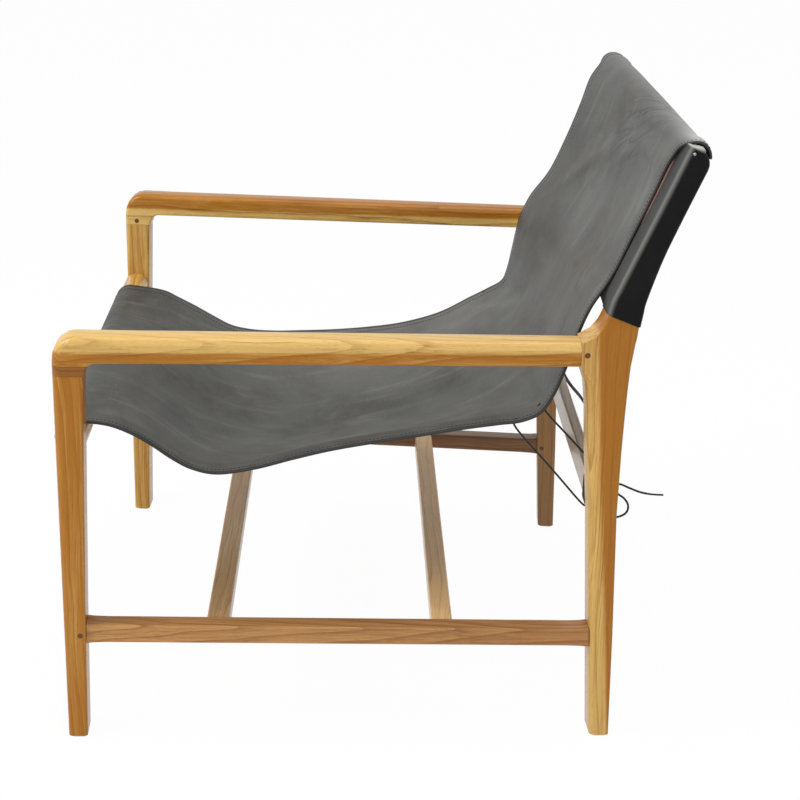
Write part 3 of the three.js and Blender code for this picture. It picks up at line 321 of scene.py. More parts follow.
def wood_grain_group():
    """Growth rings, fibres and pores of a board whose grain runs along X."""
    tree, given, out = node_group("Wood grain", "ShaderNodeTree", {
        "Place": ("Vector", None), "Pale": ("Color", None), "Warm": ("Color", None),
        "Dark": ("Color", tint(0.12, 0.038, 0.006)), "Warmth": ("Float", None), "Figure": ("Float", None),
    }, {"Color": "Color", "Roughness": "Float", "Height": "Float"})
    place = given["Place"]
    drift = noise(tree, place, (2.2, 26, 26), 3, 0.55)
    wander = noise(tree, place, (3.5, 9, 9), 2)
    sway = first(tree, "ShaderNodeCombineXYZ", {
        "Y": maths(tree, "MULTIPLY", wander, 0.035), "Z": maths(tree, "MULTIPLY", drift, 0.012)})
    swayed = first(tree, "ShaderNodeVectorMath", {0: place, 1: sway}, operation="ADD")
    rings = add(tree, "ShaderNodeTexWave", {
        "Vector": stretched(tree, swayed, (0.04, 1, 0.8)), "Scale": 52.0, "Distortion": 2.2, "Detail": 2.0,
        "Detail Scale": 1.2, "Detail Roughness": 0.5,
    }, wave_type="BANDS", bands_direction="DIAGONAL", wave_profile="SAW").outputs["Fac"]
    fibres = noise(tree, swayed, (5, 420, 420), 4, 0.62)
    threads = noise(tree, place, (16, 1500, 1500), 2)
    pores = ranged(tree, noise(tree, place, (60, 2100, 2100), 1, 0.4), 0.60, 0.74)
    tone = maths(tree, "ADD", maths(tree, "MULTIPLY", drift, 1.1), maths(tree, "MULTIPLY", rings, 0.20))
    tone = maths(tree, "ADD", maths(tree, "SUBTRACT", tone, 0.65), given["Warmth"])
    tone = maths(tree, "ADD", tone, maths(tree, "MULTIPLY", maths(tree, "SUBTRACT", fibres, 0.5), 0.9))
    colour = blended(tree, ranged(tree, tone, 0.1, 0.95), given["Pale"], given["Warm"])
    late_wood = maths(tree, "MULTIPLY", ranged(tree, rings, 0.72, 1.0), given["Figure"])
    streaks = maths(tree, "ADD", maths(tree, "MULTIPLY", late_wood, 0.26),
                    maths(tree, "MULTIPLY", ranged(tree, fibres, 0.52, 0.82), 0.30))
    streaks = maths(tree, "ADD", streaks, maths(tree, "MULTIPLY", pores, 0.30))
    streaks = maths(tree, "ADD", streaks, maths(tree, "MULTIPLY", ranged(tree, threads, 0.5, 0.8), 0.12))
    colour = blended(tree, streaks, colour, given["Dark"])
    tree.links.new(colour, out["Color"])
    tree.links.new(ranged(tree, maths(tree, "ADD", pores, fibres), 0.3, 1.4, 0.30, 0.52), out["Roughness"])
    tree.links.new(maths(tree, "SUBTRACT", maths(tree, "MULTIPLY", fibres, 0.35), pores), out["Height"])
    return tree


def hide_group():
    """Smooth hide: cloudy colour, a fine pebble and the pale marks of handling."""
    tree, given, out = node_group("Hide", "ShaderNodeTree", {
        "Place": ("Vector", None), "Ground": ("Color", None), "Pale": ("Color", None),
        "Brown": ("Color", None), "Handling": ("Float", None), "Gloss": ("Float", None),
    }, {"Color": "Color", "Roughness": "Float", "Height": "Float"})
    place = given["Place"]
    clouds = noise(tree, place, 7.0, 4, 0.55, 0.4)
    drawn = noise(tree, place, (34, 7, 20), 4, 0.6, 0.8)
    scuffs = noise(tree, place, (160, 60, 110), 5, 0.7)
    pebble = add(tree, "ShaderNodeTexVoronoi", {
        "Vector": place, "Scale": 820.0, "Smoothness": 0.5, "Randomness": 1.0,
    }, feature="SMOOTH_F1").outputs["Distance"]
    pits = noise(tree, place, 1600.0, 2)
    pale = maths(tree, "MULTIPLY", ranged(tree, drawn, 0.48, 0.78, 0.0, 0.34), given["Handling"])
    pale = maths(tree, "ADD", pale, maths(tree, "MULTIPLY", maths(tree, "MULTIPLY", ranged(
        tree, scuffs, 0.5, 0.75, 0.0, 0.4), ranged(tree, clouds, 0.4, 0.7)), given["Handling"]))
    colour = blended(tree, pale, given["Ground"], given["Pale"])
    colour = blended(tree, ranged(tree, clouds, 0.50, 0.75, 0.0, 0.65), colour, given["Brown"])
    blotches = noise(tree, place, (11, 17, 14), 4, 0.6, 0.5)
    brushed = noise(tree, place, (70, 420, 240), 3, 0.6)
    shade = maths(tree, "ADD", ranged(tree, blotches, 0.42, 0.66, 0.0, 0.38), ranged(
        tree, brushed, 0.35, 0.65, 0.0, 0.14))
    colour = blended(tree, shade, colour, tint(0.012, 0.012, 0.012))
    colour = blended(tree, ranged(tree, pebble, 0.1, 0.7, 0.10, 0.0), colour, tint(0, 0, 0))
    tree.links.new(colour, out["Color"])
    rough = maths(tree, "ADD", given["Gloss"], ranged(tree, clouds, 0.3, 0.7, -0.05, 0.07))
    tree.links.new(maths(tree, "ADD", rough, ranged(tree, pits, 0.3, 0.7, 0.0, 0.06)), out["Roughness"])
    height = maths(tree, "ADD", maths(tree, "MULTIPLY", pebble, 0.7), maths(tree, "MULTIPLY", pits, 0.3))
    tree.links.new(height, out["Height"])
    return tree


WOOD_GRAIN = wood_grain_group()
HIDE = hide_group()


def bare_material(name):
    """A material with one Principled BSDF; gives the material, its tree and the shader."""
    material = bpy.data.materials.new(name)
    material.use_nodes = True
    tree = material.node_tree
    tree.nodes.clear()
    shader = tree.nodes.new("ShaderNodeBsdfPrincipled")
    out = tree.nodes.new("ShaderNodeOutputMaterial")
    tree.links.new(shader.outputs["BSDF"], out.inputs["Surface"])
    return material, tree, shader


def bump(tree, shader, height, distance, strength):
    raised = add(tree, "ShaderNodeBump", {"Height": height, "Distance": distance, "Strength": strength})
    tree.links.new(raised.outputs["Normal"], shader.inputs["Normal"])


GRAIN_TURNS = {"X": (0, 0, 0), "Y": (0, 0, math.radians(90)), "Z": (0, math.radians(90), 0)}


# Pale and warm tones of the oiled boards. Some are darker or paler copies: olive and umber paint shade onto
# the far back leg and the far side rail (umber also colours the pins), while sand and blush paint light
# onto the shaded low rear rail and rear seat rail, blush keeping that rail's own pinkish tone
TONES = {
    "honey": ((0.63, 0.405, 0.120), (0.355, 0.130, 0.003)),
    "amber": ((0.55, 0.29, 0.10), (0.31, 0.135, 0.040)),
    "lit_blush": ((0.50, 0.40, 0.30), (0.62, 0.44, 0.29)),
    "lit_sand": ((0.82, 0.52, 0.24), (0.62, 0.38, 0.16)),
    "wheat": ((0.64, 0.44, 0.23), (0.44, 0.25, 0.10)),
    "shaded_olive": ((0.34, 0.18, 0.062), (0.19, 0.083, 0.02)),
    "russet": ((0.30, 0.12, 0.020), (0.24, 0.082, 0.006)),
    "umber": ((0.27, 0.135, 0.05), (0.12, 0.045, 0.012)),
}


def oiled_wood(name, along, offset, warmth, figure, tones, shift=None):
    """Oiled wood with its grain along one axis; offset takes the board from another place in the log.

    shift makes one side of the board warmer: a direction, where it starts and ends, and by how much. On the
    near legs the pale side it leaves is a painted highlight where their front faces the key light; on the
    armrests the two bands are the boards' own tones.
    """
    material, tree, shader = bare_material(name)
    place = tree.nodes.new("ShaderNodeTexCoord").outputs["Object"]
    if shift is not None:
        direction, start, end, change = shift
        reach = add(tree, "ShaderNodeVectorMath", {0: place, 1: direction}, operation="DOT_PRODUCT")
        warmth = ranged(tree, reach.outputs["Value"], start, end, warmth, warmth + change)
    pale, warm = TONES[tones]
    grain = add(tree, "ShaderNodeGroup", {
        "Place": first(tree, "ShaderNodeMapping", {
            "Vector": place, "Location": offset, "Rotation": GRAIN_TURNS[along]}),
        "Pale": tint(*pale), "Warm": tint(*warm), "Warmth": warmth, "Figure": figure,
    }, node_tree=WOOD_GRAIN).outputs
    fed(tree, shader, {
        "Base Color": grain["Color"], "Roughness": grain["Roughness"], "Specular IOR Level": 0.1,
        "Coat Weight": 0.38, "Coat Roughness": 0.16,
    })
    bump(tree, shader, grain["Height"], 0.12 * MM, 0.6)
    return material


WRINKLE_TURN = math.radians(-27)
WRINKLE_MIDDLE = (0.045, 0.975)


def wrinkles(tree, flat):
    """Fine slanting wrinkles where the back bends towards its top, from 0 to 1 in their troughs."""
    from_middle = first(tree, "ShaderNodeVectorMath", {
        0: flat, 1: (*WRINKLE_MIDDLE, 0)}, operation="SUBTRACT")
    turned = first(tree, "ShaderNodeMapping", {"Vector": from_middle, "Rotation": (0, 0, WRINKLE_TURN)})
    wander = noise(tree, turned, (6, 52, 1), 2, 0.4, 0.3)
    off = maths(tree, "ABSOLUTE", maths(tree, "SUBTRACT", wander, 0.5))
    lines = ranged(tree, off, 0.0, 0.045, 1.0, 0.0)
    reach = add(tree, "ShaderNodeVectorMath", {
        0: stretched(tree, turned, (6, 13, 1))}, operation="LENGTH").outputs["Value"]
    return maths(tree, "MULTIPLY", lines, ranged(tree, reach, 0.35, 1.0, 1.0, 0.0))


def hide(name, ground, pale, brown, gloss, specular, handling=1.0, uv=False, worn=None):
    """Leather, patterned on its own flat hide where uv is set, and paled where the piece is marked so: worn
    raw leather on the strip, painted highlights on the sleeves and painted light on the hide.
    """
    material, tree, shader = bare_material(name)
    place = tree.nodes.new("ShaderNodeTexCoord").outputs["UV" if uv else "Object"]
    skin = add(tree, "ShaderNodeGroup", {
        "Place": place, "Ground": tint(*ground), "Pale": tint(*pale), "Brown": tint(*brown),
        "Handling": handling, "Gloss": gloss,
    }, node_tree=HIDE).outputs
    colour, height, depth = skin["Color"], skin["Height"], 0.06 * MM
    # The worn tint is real raw leather on the strip, and painted light on the sleeves and the hide
    if worn is not None:
        wear_and_painted_light = add(tree, "ShaderNodeAttribute", attribute_name="wear_and_painted_light").outputs["Fac"]
        colour = blended(tree, wear_and_painted_light, colour, tint(*worn))
    if uv:
        lines = wrinkles(tree, place)
        # The wrinkle troughs are darkened: painted shade in the creases
        colour = blended(tree, maths(tree, "MULTIPLY", lines, 0.45), colour, tint(0.02, 0.02, 0.02))
        height = maths(tree, "SUBTRACT", maths(tree, "MULTIPLY", height, 0.15), lines)
        depth = 0.4 * MM
        rim = add(tree, "ShaderNodeAttribute", attribute_name="rim").outputs["Fac"]
        groove = maths(tree, "ABSOLUTE", maths(tree, "SUBTRACT", rim, 1.0))
        dark = maths(tree, "MAXIMUM", ranged(tree, rim, 0.26, 0.5, 0.95, 0.0),
                     ranged(tree, groove, 0.0, 0.2, 0.5, 0.0))
        colour = blended(tree, dark, colour, tint(0.008, 0.008, 0.008))
    fed(tree, shader, {
        "Base Color": colour, "Roughness": skin["Roughness"], "Specular IOR Level": specular})
    bump(tree, shader, height, depth, 0.7)
    return material


def plain_finish(name, colour, roughness, metallic=0.0, fleck=0.15):
    """A finish with a fine fleck, for thread, raw edges and small metal."""
    material, tree, shader = bare_material(name)
    grains = noise(tree, tree.nodes.new("ShaderNodeTexCoord").outputs["Object"], 900.0, 3, 0.6)
    dark = tint(*[value * (1 - 2 * fleck) for value in colour])
    light = tint(*[min(1.0, value * (1 + 2 * fleck)) for value in colour])
    fed(tree, shader, {
        "Base Color": blended(tree, grains, dark, light),
        "Roughness": ranged(tree, grains, 0.2, 0.8, roughness * 0.8, roughness * 1.2),
        "Metallic": metallic,
    })
    bump(tree, shader, grains, 0.05 * MM, 0.5)
    return material


# The pale tint put where the hide is marked paints light: a highlight on the crest fold, sheen on the
# seat's far side and light on the back
sling_face = hide(
    "sling_face", (0.056, 0.057, 0.0505), (0.20, 0.20, 0.18), (0.062, 0.044, 0.030), 0.50, 0.3,
    uv=True, worn=(0.40, 0.40, 0.385))
sling_under = plain_finish("sling_flesh_side", (0.045, 0.04, 0.036), 0.9, fleck=0.3)
sling_edge = plain_finish("sling_cut_edge", (0.012, 0.011, 0.011), 0.5, fleck=0.2)
# The pale tint put where a sleeve is marked is a painted highlight on its front corner and crown
sleeve_face = hide(
    "sleeve_face", (0.006, 0.006, 0.007), (0.02, 0.02, 0.021), (0.006, 0.005, 0.005), 0.4, 0.08,
    handling=0.5, worn=(0.47, 0.475, 0.44))
strip_face = hide(
    "strip_face", (0.010, 0.010, 0.010), (0.03, 0.03, 0.03), (0.01, 0.008, 0.007), 0.6, 0.1,
    handling=0.5, worn=(0.29, 0.14, 0.088))
cord_face = hide(
    "cord_face", (0.009, 0.009, 0.009), (0.03, 0.03, 0.03), (0.01, 0.008, 0.007), 0.5, 0.3, handling=0.6)
thread = plain_finish("thread", (0.010, 0.010, 0.010), 0.7)
dark_metal = plain_finish("dark_metal", (0.30, 0.29, 0.27), 0.38, metallic=1.0, fleck=0.1)

tail.data.materials.append(cord_face)


# Wood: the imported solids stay, with their rounded edges shaded smooth

def geometry_group(name, inputs):
    """An empty geometry group with a geometry in and out and further inputs; gives it and its two ends."""
    whole = {"Geometry": ("Geometry", None), **inputs}
    return node_group(name, "GeometryNodeTree", whole, {"Geometry": "Geometry"})


def smooth_rounds_tree():
    """Joins a solid's loose triangles and shades it smooth up to an angle."""
    tree, given, out = geometry_group("Smooth rounds", {
        "Join within": ("Float", 0.02 * MM), "Sharp over": ("Float", math.radians(38))})
    joined = first(tree, "GeometryNodeMergeByDistance", {
        "Geometry": given["Geometry"], "Distance": given["Join within"]})
    rounds = first(tree, "GeometryNodeSetShadeSmooth", {
        "Geometry": joined, "Shade Smooth": True}, domain="FACE")
    angle = tree.nodes.new("GeometryNodeInputMeshEdgeAngle").outputs["Unsigned Angle"]
    over = first(tree, "FunctionNodeCompare", {0: angle, 1: given["Sharp over"]}, operation="GREATER_THAN")
    sharp = first(tree, "GeometryNodeSetShadeSmooth", {
        "Geometry": rounds, "Selection": over, "Shade Smooth": False}, domain="EDGE")
    tree.links.new(sharp, out["Geometry"])
    return tree


SMOOTH_ROUNDS = smooth_rounds_tree()


def finish_wood(node, material):
    """Gives a wooden solid its material and smooth rounds, with its flats kept flat."""
    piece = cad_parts[node]
    piece.data.materials.clear()
    piece.data.materials.append(material)
    piece.modifiers.new("rounds", "NODES").node_group = SMOOTH_ROUNDS
    flats = piece.modifiers.new("flats", "WEIGHTED_NORMAL")
    flats.keep_sharp = True
    flats.weight = 100


# Each board: grain, place in the log, warmth, figure, tones, and a warmer side where it has one
BOARDS = {
    # The front leg's pale front strip is a painted highlight where its rounded front edge faces the key
    # light
    "front_leg_left": ("Z", (0.3, 0.1, 0.0), 0.12, 0.6, "honey", ((0, 1, 0), -0.3610, -0.3545, 0.75)),
    "front_leg_right": ("Z", (0.9, 0.4, 0.2), 0.45, 0.6, "honey"),
    # The back leg's pale front strip is a painted highlight where its chamfer faces the key light
    "back_leg_left": ("Z", (1.7, 0.2, 0.5), 0.38, 0.8, "honey", ((0, 1, 0.0825), 0.2867, 0.2967, 0.60)),
    "back_leg_right": ("Z", (2.3, 0.6, 0.3), 0.35, 0.8, "shaded_olive"),
    "armrest_left": ("Y", (0.2, 1.1, 0.1), 0.80, 0.8, "honey", ((0, 0, 1), 0.4875, 0.4955, -0.70)),
    "armrest_right": ("Y", (0.8, 1.5, 0.6), 0.25, 1.4, "honey", ((0, 0, 1), 0.485, 0.491, 0.65)),
    "side_rail_left": ("Y", (3.1, 0.3, 0.2), 0.62, 1.0, "amber"),
    "side_rail_right": ("Y", (3.9, 0.8, 0.7), 0.45, 0.9, "umber"),
    "low_cross_rail_front": ("X", (0.4, 2.2, 0.3), 0.60, 0.7, "wheat"),
    "low_cross_rail_rear": ("X", (0.6, 2.9, 0.8), 0.10, 0.8, "lit_sand"),
    "front_seat_rail": ("X", (1.2, 3.3, 0.4), 0.45, 0.7, "honey"),
    "rear_seat_rail": ("X", (1.9, 3.7, 0.9), 0.50, 0.6, "lit_blush"),
    "crest_rail": ("X", (2.6, 4.1, 1.2), 0.5, 0.8, "honey"),
    "arm_heel_left": ("Y", (4.2, 0.5, 0.3), 0.60, 1.6, "russet"),
    "arm_heel_right": ("Y", (4.9, 0.9, 0.8), 0.25, 1.0, "honey"),
}
for node, board in BOARDS.items():
    finish_wood(node, oiled_wood(f"wood_{node}", *board))
pin_wood = oiled_wood("pin_wood", "X", (5.1, 0.2, 0.6), 1.1, 0.4, "umber")
for hand in ("left", "right"):
    for pin in ("arm_pin", "heel_pin", "rail_pin_front", "rail_pin_rear"):
        finish_wood(f"{pin}_{hand}", pin_wood)


# The sling

SLING_THICKNESS = 0.003
FRONT_WRAP_RADIUS = 0.02124
FRONT_WRAP_TURN = (1.6 * math.pi, 0.42 * math.pi)
FRONT_WRAP_HALVES = (0.2773, 0.2228)
# The crest rail's lean, how far its flap bows between its middle and its ends, and the flap's length
CREST_LEAN = 0.3924
CREST_BOW = 0.0118
CREST_FLAP = 0.026
# The turn over the crest rail and over the sleeves at its ends: its middle as depth and height, then half
# its width across the lean and along it
CREST_MIDDLE = ((0.7033, 0.7081), (0.0199, 0.0172))
CREST_LEFT_END = ((0.6985, 0.7110), (0.0175, 0.0200))
CREST_RIGHT_END = ((0.6950, 0.7102), (0.0210, 0.0205))
# How far the hide's trimmed corners reach round, and both edges' distances from the chair's middle on the
# way, in millimetres
CREST_END_TURN = math.radians(160)
CREST_HALVES = [(264, 262), (268, 266), (272, 270), (276, 273), (279, 275)] + 9 * [(281, 275)]
# How far out a row is level with its edge, as a share of its half width, and the power with which it rises
# to there; over the crest rail the power grows, as the row gets flatter
SEAT_REACH = 0.9
SEAT_POWER = 2.2
CREST_REACH = 0.89
CREST_POWER = 2
CREST_FLATTER = 6
WRAP_STEPS = 12
COLUMNS = 88
ROW_PITCH = 0.0045

# Rows of the seat and the back from front to top, in millimetres: the left edge, the middle and the
# right edge of the leather's upper face as depth and height, then both edges' distance from the
# chair's middle.
SLING_ROWS = [
    ((55, 386.7), (52, 382.8), (62, 385.5), 275.3, 220.8),
    ((81, 376.2), (79, 370), (84, 374.8), 274.2, 221),
    ((104, 362.1), (104, 353.1), (107.4, 362.5), 273, 221.4),
    ((128, 344.5), (130, 332), (132, 347.6), 271.8, 223.3),
    ((150, 332.3), (158, 312.8), (159, 332.7), 271, 225.1),
    ((178, 326.1), (188, 301.1), (187, 326.1), 270, 226.3),
    ((222, 332), (226, 294.8), (222, 323.7), 267.2, 228.2),
    ((265, 343.7), (268, 294.8), (262, 324.1), 264.6, 230.8),
    ((310, 355), (312, 299.9), (306, 324.9), 262, 234.8),
    ((365, 365.2), (364, 310.1), (358, 329.6), 259, 235.6),
    ((420, 374.2), (414, 324.1), (410, 337.8), 256, 236.4),
    ((465, 381.6), (458, 342.1), (462, 354.2), 252.8, 236.6),
    ((506, 387.1), (497, 362.8), (506, 378.5), 250, 236.8),
    ((532, 390.2), (530, 384), (532, 392.6), 247.6, 237.5),
    ((552, 399.2), (552, 405.9), (550, 404.3), 245.4, 238.1),
    ((565, 419), (566, 430.1), (556.6, 422.2), 244.7, 238.3),
    ((577, 452), (580, 462.1), (562.5, 453.3), 245.2, 238.6),
    ((589.5, 497.1), (597, 503), (571, 498.1), 246.7, 238.7),
    ((601.5, 530.1), (609, 533.1), (584, 530.1), 248.5, 238.7),
    ((623, 567.1), (630, 570), (609, 567.1), 248.9, 238.1),
    ((643.5, 615.2), (653, 617.1), (630, 615.8), 247.9, 237.9),
    ((664, 665.8), (673, 667.2), (647.6, 663.9), 248.2, 240),
    ((675, 699), (681.5, 699.5), (662, 700), 254, 254),
]


def sling_rows():
    """Rows of three points, left, middle and right, with how the row sags and bows between them."""
    rail = middle_of("front_seat_rail")
    rows = []
    for step in range(WRAP_STEPS + 1):
        share = step / WRAP_STEPS
        turn = FRONT_WRAP_TURN[0] * (1 - share) + FRONT_WRAP_TURN[1] * share
        y = rail.y + FRONT_WRAP_RADIUS * math.cos(turn)
        z = rail.z + FRONT_WRAP_RADIUS * math.sin(turn)
        left, right = FRONT_WRAP_HALVES
        middle = (left - right) / 2
        rows.append(((left, y, z), (middle, y, z), (-right, y, z), SEAT_REACH, SEAT_POWER, 0))
    for left, middle, right, left_half, right_half in SLING_ROWS:
        points = (
            (left_half * MM, deep(left[0] * MM), left[1] * MM),
            ((left_half - right_half) / 2 * MM, deep(middle[0] * MM), middle[1] * MM),
            (-right_half * MM, deep(right[0] * MM), right[1] * MM),
        )
        rows.append((*points, SEAT_REACH, SEAT_POWER, 0))
    up = (math.sin(CREST_LEAN), math.cos(CREST_LEAN))
    back = (math.cos(CREST_LEAN), -math.sin(CREST_LEAN))

    def turned(place, x, high, far):
        (depth, height), (across, along) = place
        high, far = high * along, far * across
        return x, deep(depth + high * up[0] + far * back[0]), height + high * up[1] + far * back[1]

    last = len(CREST_HALVES) - 1
    for step, (left, right) in enumerate(CREST_HALVES):
        turn, end_turn = math.pi * step / (last - 1), CREST_END_TURN * step / last
        high, far = math.sin(turn), -math.cos(turn)
        if step == last:
            high, far = -CREST_FLAP / CREST_MIDDLE[1][1], 1.0
        flat, behind = clipped((step - 2) / 4), clipped((step - 7) / 3)
        rows.append((
            turned(CREST_LEFT_END, left * MM, math.sin(end_turn), -math.cos(end_turn)),
            turned(CREST_MIDDLE, 0, high, far),
            turned(CREST_RIGHT_END, -right * MM, math.sin(end_turn), -math.cos(end_turn)),
            CREST_REACH, CREST_POWER + CREST_FLATTER * flat, CREST_BOW * behind))
    return rows


def spread_rows(rows):
    """Smooth rows between the named ones, about a pitch apart along the hide's left edge."""
    table = np.array([[*a, *b, *c, *sag] for a, b, c, *sag in rows], float)
    ends = np.vstack([2 * table[0] - table[1], table, 2 * table[-1] - table[-2]])
    spread = []
    for index in range(1, len(ends) - 2):
        p = ends[index - 1:index + 3]
        gaps = [max(1e-6, np.linalg.norm(p[k + 1][:9] - p[k][:9]) / math.sqrt(3)) ** 0.5 for k in range(3)]
        slope_in = (p[1] - p[0]) / gaps[0] - (p[2] - p[0]) / (gaps[0] + gaps[1]) + (p[2] - p[1]) / gaps[1]
        slope_out = (p[2] - p[1]) / gaps[1] - (p[3] - p[1]) / (gaps[1] + gaps[2]) + (p[3] - p[2]) / gaps[2]
        slope_in, slope_out = slope_in * gaps[1], slope_out * gaps[1]
        steps = max(1, round(gaps[1] ** 2 / ROW_PITCH))
        for step in range(steps):
            t = step / steps
            spread.append(
                (2 * t ** 3 - 3 * t ** 2 + 1) * p[1] + (t ** 3 - 2 * t ** 2 + t) * slope_in
                + (3 * t ** 2 - 2 * t ** 3) * p[2] + (t ** 3 - t ** 2) * slope_out)
    spread.append(table[-1])
    return np.array(spread)


def sling_grid():
    """Points of the hide's upper face, one row after the other from left to right."""
    spread = spread_rows(sling_rows())
    sides = np.linspace(1, -1, COLUMNS + 1)
    left, middle, right = spread[:, 0:3], spread[:, 3:6], spread[:, 6:9]
    reach, power, bow = spread[:, 9:10], spread[:, 10:11], spread[:, 11:12]
    pull = np.minimum(1, np.abs(sides)[None, :] / reach) ** power
    edge = np.where(sides[None, :, None] > 0, left[:, None, :], right[:, None, :])
    points = middle[:, None, :] + (edge - middle[:, None, :]) * pull[:, :, None]
    points[:, :, 0] = right[:, None, 0] + (left[:, None, 0] - right[:, None, 0]) * (1 + sides)[None, :] / 2
    points[:, :, 1] -= bow * (sides[None, :] ** 2 - pull)
    return points


def face_normals(points):
    """Outward normals of a grid's upper face."""
    along = np.gradient(points, axis=0)
    across = np.gradient(points, axis=1)
    normals = np.cross(along, across)
    return normals / np.linalg.norm(normals, axis=2, keepdims=True)


def hide_places(points):
    """Where each grid point lies on the flat hide: across from its middle, and along from its front end."""
    steps = np.linalg.norm(np.diff(points, axis=0), axis=2)
    along = np.vstack([np.zeros(points.shape[1]), np.cumsum(steps, axis=0)])
    along = np.repeat(along.mean(axis=1)[:, None], points.shape[1], axis=1)
    widths = np.linalg.norm(np.diff(points, axis=1), axis=2)
    across = np.hstack([np.zeros((points.shape[0], 1)), np.cumsum(widths, axis=1)])
    return across[:, -1:] / 2 - across, along, across[:, -1]


# Soft creases: their ends on the flat hide (across, along), how far they arch, half width and height
CREASES = [
    ((-0.15, 0.845), (0.20, 0.965), 0.045, 0.010, 0.0022),
    ((-0.10, 0.880), (0.22, 0.985), 0.040, 0.008, -0.0018),
    ((-0.20, 0.800), (0.12, 0.930), 0.050, 0.013, 0.0018),
    ((-0.02, 0.900), (0.23, 0.955), 0.030, 0.007, 0.0016),
    ((-0.22, 0.560), (-0.10, 0.660), 0.010, 0.014, 0.0020),
    ((-0.21, 0.600), (-0.06, 0.700), 0.015, 0.012, -0.0018),
    ((0.22, 0.560), (0.10, 0.640), 0.010, 0.015, 0.0015),
    ((0.15, 0.270), (0.02, 0.420), 0.020, 0.020, -0.0022),
    ((0.22, 0.250), (0.05, 0.330), 0.010, 0.018, 0.0016),
]


def crease_heights(across, along):
    """The height of all soft creases over the flat hide."""
    total = np.zeros_like(across)
    for start, end, arch, half, height in CREASES:
        run = np.array(end) - np.array(start)
        length = np.hypot(*run)
        run /= length
        u, v = across - start[0], along - start[1]
        forth = (u * run[0] + v * run[1]) / length
        aside = -u * run[1] + v * run[0] - arch * 4 * forth * (1 - forth)
        ends = np.clip(np.minimum(forth + 0.08, 1.08 - forth) / 0.3, 0, 1)
        total += height * np.exp(-(aside / half) ** 2) * ends ** 2 * (3 - 2 * ends)
    return total


RIM_STEPS = 4
RIM_BULGE = 0.4 * MM
CREASE_FADE = 0.03
# Where on the flat hide the fold over the crest rail is painted pale, a painted highlight brighter towards
# the near side, and how far to each side
FOLD_HIGHLIGHT_PLACE = 1.036
FOLD_HIGHLIGHT_REACH = 0.018
# How far along the hide is sat on, and how much paler its seat and its back are painted: painted sheen over
# the seat's far side and painted light over the back
SEAT_END = 0.68
SEAT_PAINTED_SHEEN = 0.16
BACK_PAINTED_LIGHT = 0.07
# How far in from each side edge its seam runs
STITCH_INSETS = {"left": 0.0075, "right": 0.019}


